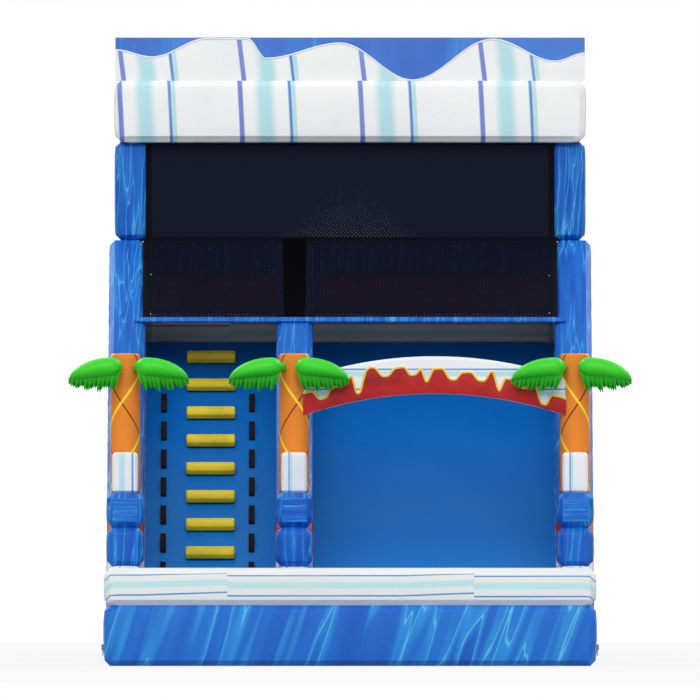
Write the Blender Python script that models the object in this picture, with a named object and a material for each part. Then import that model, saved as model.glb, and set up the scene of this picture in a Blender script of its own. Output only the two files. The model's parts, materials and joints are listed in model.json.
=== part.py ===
"""Inflatable water slide: splash pool, climbing lane, wide slide lane, netted platform, blower.

Metres, +Z up, front facing -Y, origin on the ground under the middle of the bounding box.
Each air cell is a closed solid of its inflated outer shape. Lengths along the slide are
measured back from the pool's front face, and one empty then centres the whole object.
"""

import math

import bmesh
import bpy
from mathutils import Matrix, Vector

# Clearance between pieces that touch, and the running clearance round a pin
GAP = 0.0003
END_PLAY = 0.0015

# Plan: widths across, depths from front to back
BODY_WIDTH = 4.25
WALL_WIDTH = 0.315
CENTRE_WALL_X = -0.49
FRONT_WALL_DEPTH = 0.36
POOL_LENGTH = 2.45
FOOT_LENGTH = 0.70
SLOPE_RUN = 2.90
DECK_DEPTH = 1.35
CENTRE_WALL_ON_DECK = 0.20

# Heights of the cells, stacked from the ground up
POOL_FLOOR_HEIGHT = 0.20
BASE_HEIGHT = 0.525
WHITE_TUBE = 0.316
RED_TUBE = 0.343
BLUE_TUBE = 0.303
SLOPE_RISE = 2.22
DECK_HEIGHT = 2.794
CELL_CHAMFER = 0.045

# Posts, canopy and the wave board on it
POST_SIZE = 0.29
POST_HEIGHT = 0.873
CANOPY_WIDTH = 4.152
CANOPY_HEIGHT = 0.537
CANOPY_OVERHANG = 0.12
WAVE_HEIGHT = 0.383
WAVE_BOARD = 0.09
WAVE_TROUGH = 0.012
WAVE_STEPS = 6
# Turning points of the wave: share of the board's width, share of its height
WAVE_TURNS = (
    (0.0, 0.72), (0.078, 0.55), (0.194, 0.985), (0.281, 0.985), (0.321, 0.52),
    (0.479, 0.88), (0.633, 0.0), (0.804, 0.975), (0.937, 0.45), (1.0, 0.64),
)

# Safety nets: a bar round each opening of the mesh
NET_BAR = 0.016
NET_THICKNESS = 0.012
NET_CELL = 0.21
NET_INSET = 0.02
BEAM_HEIGHT = 0.052
BEAM_SHARE = 0.6
BEAM_DROP = 0.70
BEAM_SEAT = 0.09

# Climbing lane
RUNG_COUNT = 8
RUNG_LENGTH = 0.427
RUNG_DIAMETER = 0.108
RUNG_SIDES = 8
RUNG_CHAMFER = 0.009
RUNG_PITCH = 0.245
RUNG_TOP_DROP = 0.123
RUNG_X = -1.228
HANDLE_COUNT = 8
HANDLE_PITCH = 0.2437
HANDLE_TOP_DROP = 0.297
HANDLE_LENGTH = 0.25
HANDLE_RISE = 0.055
HANDLE_BAND = 0.006
WEBBING_WIDTH = 0.052
STRIP_THICKNESS = 0.004
HANDLE_ARC_STEPS = 8
HANDLE_SWELL = 0.6
HANDLE_ROWS = {"left": -1.641, "right": -0.866}

# Palms, the block at each foot, and the arch between two of them
TRUNK_RADIUS = 0.131
TRUNK_HEIGHT = 1.215
TRUNK_SETBACK = 0.42
TRUNK_SIDES = 24
BLOCK_WIDTH = 0.218
BLOCK_HEIGHT = 0.35
BLOCK_DEPTH = 0.22
BLOCK_CHAMFER = 0.018
FROND_ROOT = 0.057
FROND_REACH = 0.52
FROND_Z = 1.10
FROND_DROOP = 0.135
FROND_RISE = 0.08
FROND_HALF_WIDTH = 0.10
FROND_SKEW = 0.62
FROND_BLUNT_END = 0.012
FROND_DROOP_POWER = 1.8
FROND_RISE_POWER = 0.7
FROND_WIDTH_POWER = 0.8
FROND_STATIONS = 9
FROND_SIDES = 10
FROND_FORWARD = 0.126
FRINGE_START = 0.1
FRINGE_SPAN = 0.86
FRINGE_SEAT = 0.4
FRINGE_DROP = 0.1147
FRINGE_LEAST_DROP = 0.02
FRINGE_FALL_POWER = 3
FRINGE_TOOTH = 0.042
FRINGE_TEETH = 8
FRINGE_THICKNESS = 0.03
LUG_SIZE = 0.05
LUG_REACH = 0.06
LUG_IN_TRUNK = 0.4
ARCH_TOP = 1.193
ARCH_RISE = 0.22
ARCH_BAND = 0.33
ARCH_FORWARD = 0.099
ARCH_DEPTH = 0.20
ARCH_STEPS = 28
LAVA_THICKNESS = 0.016
LAVA_DRIPS = 9
LAVA_BAND = 0.055
LAVA_CREST = 0.19
LAVA_STEPS = 8
LAVA_SWELL = 0.6

# Anchor tabs and steel rings low on the side walls
ANCHORS_FROM_FRONT = (1.20, 7.30)
ANCHOR_Z = 0.15
ANCHOR_OFFSET = 0.024
TAB_WIDTH = 0.056
TAB_HEIGHT = 0.05
TAB_DEPTH = 0.036
RING_ROD = 0.005
RING_WIDTH = 0.094
RING_DROP = 0.075
RING_STEPS = 10
HOLE_SIDES = 16

# Blower behind the platform, and the sleeve that joins it to the body
BLOWER_X = 1.10
SLEEVE_RADIUS = 0.13
SLEEVE_WALL = 0.006
SLEEVE_LENGTH = 0.42
SLEEVE_WAIST = 0.118
SLEEVE_END_RADIUS = 0.1248
SLEEVE_SIDES = 24
SNOUT_RADIUS = 0.108
SNOUT_LENGTH = 0.22
SNOUT_IN_SLEEVE = 0.10
SCROLL_AXIS_Z = 0.29
SCROLL_SMALL = 0.165
SCROLL_LARGE = 0.25
SCROLL_WIDTH = 0.23
SCROLL_WALL = 0.009
SCROLL_STEPS = 36
SCROLL_THROAT = 0.95
SCROLL_TONGUE = 0.97
SCROLL_START_DEGREES = 180
SCROLL_TURN_DEGREES = 270
SCROLL_REAR_SHARE = 2 / 3
BASE_PLATE = (0.30, 0.42, 0.022)
PLATE_OVERHANG = 0.008
INTAKE_RADIUS = 0.092
SHAFT_RADIUS = 0.009
IMPELLER_RADIUS = 0.13
IMPELLER_WIDTH = 0.13
IMPELLER_PLATE = 0.004
IMPELLER_RING = 0.03
BLADE_COUNT = 20
BLADE_THICKNESS = 0.003
BLADE_LEAN = 32.0
BLADE_UNDER_RING = 0.9
BLADE_IN_RIM = 0.985
HUB_RADIUS = 0.024
HUB_LENGTH = 0.05
MOTOR_RADIUS = 0.085
MOTOR_LENGTH = 0.17
MOTOR_FINS = 6
MOTOR_SIDES = 20
MOTOR_FIN_DEPTH = 0.007
MOTOR_FINNED = 0.8
MOTOR_FACE = 0.1
MOTOR_CAP = 0.85
GRILLE_BAR = 0.006
GRILLE_RINGS = 3
GRILLE_SPOKES = 6
GRILLE_SPOKE_INSET = 0.0006
GRIP_HEIGHT = 0.055
GRIP_LENGTH = 0.13
GRIP_BAR = 0.02
GRIP_ROOT = 0.0825

# Places worked out from the sizes
HALF_BODY = BODY_WIDTH / 2
INNER_X = HALF_BODY - WALL_WIDTH
FOOT_FRONT = FRONT_WALL_DEPTH + POOL_LENGTH
SLOPE_START = FOOT_FRONT + FOOT_LENGTH
DECK_FRONT = SLOPE_START + SLOPE_RUN
DECK_REAR = DECK_FRONT + DECK_DEPTH
BODY_LENGTH = DECK_REAR + WALL_WIDTH
CENTRE_WALL_END = DECK_FRONT + CENTRE_WALL_ON_DECK
SLOPE = SLOPE_RISE / SLOPE_RUN
SLOPE_ANGLE = math.atan(SLOPE)
RAMP_TOE = DECK_FRONT - (DECK_HEIGHT - POOL_FLOOR_HEIGHT) / SLOPE
WHITE_TOP = BASE_HEIGHT + WHITE_TUBE
RED_TOP = WHITE_TOP + RED_TUBE
FOOT_TOP = RED_TOP + BLUE_TUBE
WALL_TOP = FOOT_TOP + SLOPE_RISE
CANOPY_BOTTOM = WALL_TOP + POST_HEIGHT
CANOPY_TOP = CANOPY_BOTTOM + CANOPY_HEIGHT
POST_X = CANOPY_WIDTH / 2 - POST_SIZE / 2
TRUNK_Y = FOOT_FRONT + TRUNK_SETBACK
OUTER_WALL_X = HALF_BODY - WALL_WIDTH / 2
WALL_CENTRES = {"left": -OUTER_WALL_X, "centre": CENTRE_WALL_X, "right": OUTER_WALL_X}
FROND_SHIFT = {"left": 0.031, "centre": -0.046, "right": -0.031}
SNOUT_FRONT = BODY_LENGTH + SLEEVE_LENGTH - SNOUT_IN_SLEEVE
SCROLL_Y = SNOUT_FRONT + SNOUT_LENGTH + SCROLL_SMALL * SCROLL_THROAT
SNOUT_Z = SCROLL_AXIS_Z - SCROLL_LARGE + SNOUT_RADIUS + SCROLL_WALL
SCROLL_REAR = SCROLL_SMALL + (SCROLL_LARGE - SCROLL_SMALL) * SCROLL_REAR_SHARE
HOUSING_REAR = SCROLL_Y + SCROLL_REAR + PLATE_OVERHANG
RUNG_TOP_Z = DECK_HEIGHT - RUNG_TOP_DROP
HANDLE_TOP_Z = DECK_HEIGHT - HANDLE_TOP_DROP

# Colours as red, green, blue in linear light
BLUE = (0.03, 0.16, 0.62)
DEEP_BLUE = (0.0, 0.13, 0.45)
WHITE = (0.86, 0.87, 0.87)
RED = (0.42, 0.03, 0.03)
BLACK = (0.012, 0.012, 0.014)
YELLOW = (0.58, 0.45, 0.02)
ORANGE = (0.82, 0.26, 0.02)
GREEN = (0.05, 0.5, 0.03)
STEEL = (0.6, 0.6, 0.62)
GRAPHITE = (0.05, 0.05, 0.055)
CASING = (0.45, 0.06, 0.03)


def clear_scene():
    """Removes every object that is in the scene at the start."""
    for obj in list(bpy.data.objects):
        bpy.data.objects.remove(obj, do_unlink=True)


def make_material(name, colour, roughness, metallic=0.0):
    """A Principled material of one colour."""
    material = bpy.data.materials.new(name)
    material.use_nodes = True
    shader = material.node_tree.nodes["Principled BSDF"]
    shader.inputs["Base Color"].default_value = (*colour, 1.0)
    shader.inputs["Roughness"].default_value = roughness
    shader.inputs["Metallic"].default_value = metallic
    return material


def finish_mesh(name, bm, material, parent=None, smooth_angle=None):
    """Turns a bmesh into an object with outward normals."""
    bmesh.ops.recalc_face_normals(bm, faces=bm.faces)
    mesh = bpy.data.meshes.new(name)
    bm.to_mesh(mesh)
    bm.free()
    mesh.materials.append(material)
    if smooth_angle is not None:
        mesh.shade_smooth()
        mesh.set_sharp_from_angle(angle=math.radians(smooth_angle))
    obj = bpy.data.objects.new(name, mesh)
    bpy.context.scene.collection.objects.link(obj)
    obj.parent = parent
    return obj


def chamfer(obj, width, segments=1):
    """Bevels the edges sharper than 50 degrees, as an inflated cell's corners are."""
    bevel = obj.modifiers.new("Chamfer", "BEVEL")
    bevel.width = width
    bevel.segments = segments
    bevel.limit_method = "ANGLE"
    bevel.angle_limit = math.radians(50)
    return obj


def combine(obj, other, operation):
    """Adds an exact Boolean with another object, which is left out of the model."""
    other.hide_render = True
    other.display_type = "WIRE"
    modifier = obj.modifiers.new(operation.title(), "BOOLEAN")
    modifier.operation = operation
    modifier.object = other
    modifier.solver = "EXACT"


def loft(bm, rings):
    """Skins a list of rings of equal length and caps both ends."""
    rows = [[bm.verts.new(point) for point in ring] for ring in rings]
    count = len(rows[0])
    for row, following in zip(rows, rows[1:]):
        for i in range(count):
            j = (i + 1) % count
            bm.faces.new((row[i], row[j], following[j], following[i]))
    bm.faces.new(reversed(rows[0]))
    bm.faces.new(rows[-1])


def place(axis, along, u, v):
    """A point from its place along one axis and the two others in X, Y, Z order."""
    return {"X": (along, u, v), "Y": (u, along, v), "Z": (u, v, along)}[axis]


def prism(name, outline, axis, start, end, material, parent=None):
    """An outline of (u, v) points extruded along an axis."""
    bm = bmesh.new()
    loft(bm, [[place(axis, along, u, v) for u, v in outline] for along in (start, end)])
    return finish_mesh(name, bm, material, parent)


def box(name, low, high, material, parent=None):
    """A box between two corners."""
    outline = [(low[1], low[2]), (high[1], low[2]), (high[1], high[2]), (low[1], high[2])]
    return prism(name, outline, "X", low[0], high[0], material, parent)


def cylinder(name, radius, axis, centre, start, end, material, sides=24, parent=None):
    """A cylinder along an axis; centre holds its two other coordinates."""
    outline = [
        (centre[0] + radius * math.cos(turn), centre[1] + radius * math.sin(turn))
        for turn in (2 * math.pi * i / sides for i in range(sides))
    ]
    obj = prism(name, outline, axis, start, end, material, parent)
    obj.data.shade_smooth()
    obj.data.set_sharp_from_angle(angle=math.radians(40))
    return obj


def hole_radius(pin_radius, sides):
    """Radius of a faceted hole whose flats clear a pin by the gap."""
    return (pin_radius + GAP) / math.cos(math.pi / sides)


def turned(name, profile, centre, material, sides=24, parent=None):
    """A closed (x, radius) profile turned about an axis along X through centre (y, z)."""
    bm = bmesh.new()
    rings = []
    for i in range(sides):
        turn = 2 * math.pi * i / sides
        rings.append([
            bm.verts.new((x, centre[0] + r * math.cos(turn), centre[1] + r * math.sin(turn)))
            for x, r in profile
        ])
    for ring, following in zip(rings, rings[1:] + rings[:1]):
        for i in range(len(profile)):
            j = (i + 1) % len(profile)
            bm.faces.new((ring[i], ring[j], following[j], following[i]))
    bmesh.ops.remove_doubles(bm, verts=bm.verts, dist=1e-6)
    return finish_mesh(name, bm, material, parent, smooth_angle=40)


def lift(y):
    """How far a wall cell has climbed at this distance from the front."""
    return SLOPE_RISE * min(max((y - SLOPE_START) / SLOPE_RUN, 0.0), 1.0)


def ramp_surface(y):
    """Height of the lanes' surface at this distance from the front."""
    return min(max(DECK_HEIGHT - SLOPE * (DECK_FRONT - y), POOL_FLOOR_HEIGHT), DECK_HEIGHT)


def wall_cell(name, x, stations, bottom, top, material, parent):
    """A cell of a wall, swept back and up the slope on upright sections."""
    half = WALL_WIDTH / 2
    bm = bmesh.new()
    loft(bm, [
        [
            (x - half, y, bottom(y)), (x + half, y, bottom(y)),
            (x + half, y, top(y)), (x - half, y, top(y)),
        ]
        for y in stations
    ])
    return chamfer(finish_mesh(name, bm, material, parent), CELL_CHAMFER)


def build_pool(materials, parent):
    """The pool's floor, front wall and striped rim."""
    box("pool_floor", (-INNER_X + GAP, FRONT_WALL_DEPTH + GAP, 0),
        (INNER_X - GAP, RAMP_TOE - GAP, POOL_FLOOR_HEIGHT), materials["deep_blue"], parent)
    wall = box("front_wall", (-HALF_BODY, 0, 0),
               (HALF_BODY, FRONT_WALL_DEPTH, BASE_HEIGHT), materials["blue"], parent)
    chamfer(wall, CELL_CHAMFER)
    rim = box("front_rim", (-HALF_BODY, 0, BASE_HEIGHT + GAP),
              (HALF_BODY, FRONT_WALL_DEPTH, WHITE_TOP - GAP), materials["white"], parent)
    chamfer(rim, CELL_CHAMFER)


def build_ramps(materials, parent):
    """The two lanes' ramps, which meet under the centre wall, and the deck block."""
    outline = [(RAMP_TOE, 0), (RAMP_TOE, POOL_FLOOR_HEIGHT),
               (DECK_FRONT - GAP, DECK_HEIGHT), (DECK_FRONT - GAP, 0)]
    prism("climb_ramp", outline, "X", -INNER_X + GAP, CENTRE_WALL_X - GAP,
          materials["deep_blue"], parent)
    prism("slide_ramp", outline, "X", CENTRE_WALL_X, INNER_X - GAP,
          materials["deep_blue"], parent)
    rear = DECK_REAR - GAP
    back_seat = BASE_HEIGHT + SLOPE_RISE - GAP
    deck = [(DECK_FRONT, 0), (DECK_FRONT, DECK_HEIGHT), (rear, DECK_HEIGHT),
            (rear, back_seat), (BODY_LENGTH, back_seat), (BODY_LENGTH, 0)]
    prism("platform", deck, "X", -INNER_X + GAP, INNER_X - GAP, materials["blue"], parent)


def build_walls(materials, parent):
    """Three walls of stacked cells: striped white, red and blue, over marbled bases."""
    for side, x in WALL_CENTRES.items():
        end = CENTRE_WALL_END if side == "centre" else BODY_LENGTH
        stations = (FOOT_FRONT, SLOPE_START, DECK_FRONT, end)
        if side == "centre":
            wall_cell("centre_white_tube", x, (FOOT_FRONT, RAMP_TOE, *stations[1:]),
                      lambda y: ramp_surface(y) + GAP, lambda y: WHITE_TOP + lift(y) - GAP,
                      materials["white"], parent)
        else:
            rows = (FRONT_WALL_DEPTH + GAP, *stations[1:])
            base = wall_cell(f"{side}_side_wall", x, rows, lambda y: 0.0,
                             lambda y: BASE_HEIGHT + lift(y), materials["blue"], parent)
            add_anchor_tabs(base, math.copysign(1, x), materials)
            wall_cell(f"{side}_white_tube", x, rows, lambda y: BASE_HEIGHT + lift(y) + GAP,
                      lambda y: WHITE_TOP + lift(y) - GAP, materials["white"], parent)
        wall_cell(f"{side}_red_tube", x, stations, lambda y: WHITE_TOP + lift(y),
                  lambda y: RED_TOP + lift(y), materials["red"], parent)
        wall_cell(f"{side}_blue_tube", x, stations, lambda y: RED_TOP + lift(y) + GAP,
                  lambda y: FOOT_TOP + lift(y) - GAP, materials["blue"], parent)


def add_anchor_tabs(base, side, materials):
    """Webbing tabs sewn low on a side wall, each with a hole for its ring's bar."""
    for i, y in enumerate(ANCHORS_FROM_FRONT):
        face = side * HALF_BODY
        ends = sorted((face - side * TAB_DEPTH, face + side * TAB_DEPTH))
        tab = box(f"{base.name}_tab_{i}",
                  (ends[0], y - TAB_WIDTH / 2, ANCHOR_Z - TAB_HEIGHT / 2),
                  (ends[1], y + TAB_WIDTH / 2, ANCHOR_Z + TAB_HEIGHT / 2),
                  materials["black"], base.parent)
        combine(base, tab, "UNION")
        hole = cylinder(f"{base.name}_hole_{i}", hole_radius(RING_ROD, HOLE_SIDES), "Y",
                        (face + side * ANCHOR_OFFSET, ANCHOR_Z), y - TAB_WIDTH,
                        y + TAB_WIDTH, materials["black"], HOLE_SIDES, base.parent)
        combine(base, hole, "DIFFERENCE")


def build_rings(materials, parent):
    """Steel D-rings: a straight bar in the tab's hole and a round loop hanging below."""
    half = RING_WIDTH / 2 - RING_ROD
    drop = RING_DROP - RING_ROD
    for side, sign in (("left", -1), ("right", 1)):
        for end, y in zip(("front", "rear"), ANCHORS_FROM_FRONT):
            curve = bpy.data.curves.new(f"{side}_{end}_ring", "CURVE")
            curve.dimensions = "3D"
            curve.bevel_depth = RING_ROD
            curve.bevel_resolution = 1
            turns = [math.pi * i / RING_STEPS for i in range(RING_STEPS + 1)]
            points = [(0, half * math.cos(t), -drop * math.sin(t)) for t in turns]
            spline = curve.splines.new("POLY")
            spline.points.add(len(points) - 1)
            for point, place_at in zip(spline.points, points):
                point.co = (*place_at, 1)
            spline.use_cyclic_u = True
            curve.materials.append(materials["steel"])
            ring = bpy.data.objects.new(curve.name, curve)
            bpy.context.scene.collection.objects.link(ring)
            ring.parent = parent
            ring.location = (sign * (HALF_BODY + ANCHOR_OFFSET), y, ANCHOR_Z)


def build_back_wall(materials, parent):
    """Three cells across the back of the deck, between the side walls."""
    bottoms = {"white": BASE_HEIGHT, "red": WHITE_TOP, "blue": RED_TOP}
    tops = {"white": WHITE_TOP, "red": RED_TOP, "blue": FOOT_TOP}
    for colour, bottom in bottoms.items():
        cell = box(f"back_{colour}_tube",
                   (-INNER_X + GAP, DECK_REAR, bottom + SLOPE_RISE),
                   (INNER_X - GAP, BODY_LENGTH, tops[colour] + SLOPE_RISE - GAP),
                   materials[colour], parent)
        chamfer(cell, CELL_CHAMFER)


def build_canopy(materials, parent):
    """Four posts, the canopy they carry, and the two boards of the wave."""
    rows = {"front": DECK_FRONT, "rear": BODY_LENGTH - POST_SIZE}
    for end, y in rows.items():
        for side, x in (("left", -POST_X), ("right", POST_X)):
            post = box(f"{end}_{side}_post", (x - POST_SIZE / 2, y, WALL_TOP),
                       (x + POST_SIZE / 2, y + POST_SIZE, CANOPY_BOTTOM - GAP),
                       materials["blue"], parent)
            chamfer(post, CELL_CHAMFER)
    half = CANOPY_WIDTH / 2
    front = DECK_FRONT - CANOPY_OVERHANG
    canopy = box("canopy", (-half, front, CANOPY_BOTTOM), (half, BODY_LENGTH, CANOPY_TOP),
                 materials["white"], parent)
    chamfer(canopy, CELL_CHAMFER)
    seat = front + CELL_CHAMFER
    prism("wave_crest", wave_outline(half), "Y", seat, seat + WAVE_BOARD,
          materials["white"], parent)
    box("wave_backing", (-half, seat + WAVE_BOARD + GAP, CANOPY_TOP + GAP),
        (half, seat + 2 * WAVE_BOARD, CANOPY_TOP + WAVE_HEIGHT), materials["blue"], parent)


def wave_outline(half):
    """The wave's edge eased between its turning points, closed along the canopy."""
    edge = []
    for (x0, z0), (x1, z1) in zip(WAVE_TURNS, WAVE_TURNS[1:]):
        for step in range(WAVE_STEPS):
            share = step / WAVE_STEPS
            ease = (1 - math.cos(math.pi * share)) / 2
            edge.append((x0 + (x1 - x0) * share, z0 + (z1 - z0) * ease))
    edge.append(WAVE_TURNS[-1])
    foot = CANOPY_TOP + GAP
    outline = [
        (-half + 2 * half * x, foot + WAVE_TROUGH + (WAVE_HEIGHT - WAVE_TROUGH) * z)
        for x, z in edge
    ]
    return [(-half, foot), *outline, (half, foot)][::-1]


def net_panel(name, width, height, material, parent):
    """A net in its own XZ plane: a sheet of square openings with bars between them."""
    across = max(1, round(width / NET_CELL))
    up = max(1, round(height / NET_CELL))

    def lines(length, count):
        pitch = (length - NET_BAR) / count
        edges = []
        for i in range(count + 1):
            edges += [i * pitch, i * pitch + NET_BAR]
        return edges

    xs, zs = lines(width, across), lines(height, up)
    bm = bmesh.new()
    grid = [[bm.verts.new((x, 0, z)) for z in zs] for x in xs]
    for i in range(len(xs) - 1):
        for j in range(len(zs) - 1):
            if i % 2 and j % 2:
                continue
            bm.faces.new((grid[i][j], grid[i + 1][j], grid[i + 1][j + 1], grid[i][j + 1]))
    extruded = bmesh.ops.extrude_face_region(bm, geom=list(bm.faces))
    moved = [item for item in extruded["geom"] if isinstance(item, bmesh.types.BMVert)]
    bmesh.ops.translate(bm, verts=moved, vec=(0, NET_THICKNESS, 0))
    return finish_mesh(name, bm, material, parent)


def build_nets(materials, parent):
    """Nets round the platform, the sloping net over the lanes and the beam at its foot."""
    inner = POST_X - POST_SIZE / 2 - GAP
    height = POST_HEIGHT - 2 * GAP
    middle = (POST_SIZE - NET_THICKNESS) / 2
    for end, y in (("front", DECK_FRONT + NET_INSET), ("back", BODY_LENGTH - POST_SIZE + middle)):
        net = net_panel(f"{end}_net", 2 * inner, height, materials["black"], parent)
        net.location = (-inner, y, WALL_TOP + GAP)
    length = BODY_LENGTH - DECK_FRONT - 2 * POST_SIZE - 2 * GAP
    for side, x in (("left", -POST_X), ("right", POST_X)):
        net = net_panel(f"{side}_net", length, height, materials["black"], parent)
        net.rotation_euler.z = math.pi / 2
        net.location = (x + NET_THICKNESS / 2, DECK_FRONT + POST_SIZE + GAP, WALL_TOP + GAP)
    run = BEAM_DROP / math.sin(SLOPE_ANGLE)
    seat = Vector((0, DECK_FRONT, WALL_TOP))
    up_slope = Vector((0, math.cos(SLOPE_ANGLE), math.sin(SLOPE_ANGLE)))
    normal = Vector((0, -math.sin(SLOPE_ANGLE), math.cos(SLOPE_ANGLE)))
    tilt = Matrix.Rotation(SLOPE_ANGLE - math.pi / 2, 4, "X")
    net = net_panel("lane_net", 2 * INNER_X - NET_INSET, run, materials["black"], parent)
    corner = seat - up_slope * (run + GAP) + normal * (GAP + NET_THICKNESS)
    net.matrix_local = Matrix.Translation(
        (-INNER_X + NET_INSET / 2, corner.y, corner.z)) @ tilt
    length = BEAM_SHARE * BEAM_HEIGHT / math.sin(SLOPE_ANGLE)
    thickness = (1 - BEAM_SHARE) * BEAM_HEIGHT / math.cos(SLOPE_ANGLE)
    top = seat - up_slope * (run + 2 * GAP) + normal * GAP
    corners = (top, top - up_slope * length, top - up_slope * length + normal * thickness,
               top + normal * thickness)
    prism("net_beam", [(c.y, c.z) for c in corners], "X", -INNER_X - BEAM_SEAT,
          INNER_X + BEAM_SEAT, materials["blue"], parent)


def build_rungs(materials, parent):
    """Eight logs across the climbing lane, each flattened where it lies on the ramp."""
    radius = RUNG_DIAMETER / 2
    for i in range(RUNG_COUNT):
        z = RUNG_TOP_Z - i * RUNG_PITCH
        foot_z = z - radius * math.cos(SLOPE_ANGLE)
        y = DECK_FRONT - (DECK_HEIGHT - foot_z) / SLOPE - radius * math.sin(SLOPE_ANGLE)
        flat = math.cos(math.pi / RUNG_SIDES)
        outline = []
        for side in range(RUNG_SIDES):
            turn = SLOPE_ANGLE + math.pi * (2 * side + 1) / RUNG_SIDES
            outline.append((y + (radius - GAP) / flat * math.cos(turn),
                            z + (radius - GAP) / flat * math.sin(turn)))
        rung = prism(f"rung_{i + 1}", outline, "X", RUNG_X - RUNG_LENGTH / 2,
                     RUNG_X + RUNG_LENGTH / 2, materials["yellow"], parent)
        chamfer(rung, RUNG_CHAMFER)


def build_handles(materials, parent):
    """A reinforcing strip down each side of the climbing lane, with its webbing loops."""
    for side, x in HANDLE_ROWS.items():
        bm = bmesh.new()
        last = None
        for i in range(HANDLE_COUNT):
            middle = i * HANDLE_PITCH / math.sin(SLOPE_ANGLE)
            start, end = middle - HANDLE_LENGTH / 2, middle + HANDLE_LENGTH / 2
            last = add_handle(bm, start, end, last)
        extruded = bmesh.ops.extrude_face_region(bm, geom=list(bm.faces))
        moved = [item for item in extruded["geom"] if isinstance(item, bmesh.types.BMVert)]
        bmesh.ops.translate(bm, verts=moved, vec=(WEBBING_WIDTH, 0, 0))
        strip = finish_mesh(f"{side}_handle_strip", bm, materials["black"], parent)
        top_y = DECK_FRONT - (DECK_HEIGHT - HANDLE_TOP_Z) / SLOPE
        turn = Matrix.Rotation(math.pi + SLOPE_ANGLE, 4, "X") @ Matrix.Scale(-1, 4, (0, 0, 1))
        lifted = GAP / math.cos(SLOPE_ANGLE)
        strip.matrix_local = Matrix.Translation(
            (x - WEBBING_WIDTH / 2, top_y, HANDLE_TOP_Z + lifted)) @ turn


def add_handle(bm, start, end, last):
    """One loop and the strip under it, in the plane of Y down the slope and Z off it."""
    foot = HANDLE_BAND
    lows = [bm.verts.new((0, s, 0)) for s in (start, start + foot, end - foot, end)]
    highs = [bm.verts.new((0, s, STRIP_THICKNESS)) for s in (start, start + foot, end - foot, end)]
    for i in range(3):
        bm.faces.new((lows[i], lows[i + 1], highs[i + 1], highs[i]))
    if last:
        bm.faces.new((last[0], lows[0], highs[0], last[1]))
    middle, half = (start + end) / 2, (end - start) / 2
    outer, inner = [highs[0]], [highs[1]]
    for i in range(1, HANDLE_ARC_STEPS):
        turn = math.pi * (1 - i / HANDLE_ARC_STEPS)
        swell = math.sin(turn) ** HANDLE_SWELL
        reach = math.cos(turn)
        outer.append(bm.verts.new(
            (0, middle + half * reach, STRIP_THICKNESS + HANDLE_RISE * swell)))
        inner.append(bm.verts.new((0, middle + (half - foot) * reach,
                                   STRIP_THICKNESS + (HANDLE_RISE - HANDLE_BAND) * swell)))
    outer.append(highs[3])
    inner.append(highs[2])
    for i in range(HANDLE_ARC_STEPS):
        bm.faces.new((outer[i], outer[i + 1], inner[i + 1], inner[i]))
    return lows[3], highs[3]


def frond_section(share):
    """Reach, centre height, half height and half width of a frond at a share of its length."""
    reach = FROND_ROOT + (FROND_REACH - FROND_ROOT) * share
    inside = min(max(share, FROND_BLUNT_END), 1 - FROND_BLUNT_END)
    swell = math.sin(math.pi * inside ** FROND_SKEW)
    centre = FROND_Z - FROND_DROOP * share ** FROND_DROOP_POWER
    rise = FROND_RISE * swell ** FROND_RISE_POWER
    return reach, centre, rise, FROND_HALF_WIDTH * swell ** FROND_WIDTH_POWER


def build_palms(materials, parent):
    """A trunk on each wall's foot, with two drooping fronds and a block before it."""
    foot = FOOT_TOP + GAP
    for side, x in WALL_CENTRES.items():
        trunk = cylinder(f"{side}_palm", TRUNK_RADIUS, "Z", (x, TRUNK_Y), foot,
                         foot + TRUNK_HEIGHT, materials["orange"], TRUNK_SIDES, parent)
        for hand in (-1, 1):
            for piece in frond_pieces(f"{side}_frond_{hand}", x, x + FROND_SHIFT[side], hand,
                                      foot, materials["green"], parent):
                combine(trunk, piece, "UNION")
        back = TRUNK_Y - TRUNK_RADIUS - GAP
        block = box(f"{side}_block", (x - BLOCK_WIDTH / 2, back - BLOCK_DEPTH, foot),
                    (x + BLOCK_WIDTH / 2, back, foot + BLOCK_HEIGHT), materials["white"],
                    parent)
        chamfer(block, BLOCK_CHAMFER)


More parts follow.
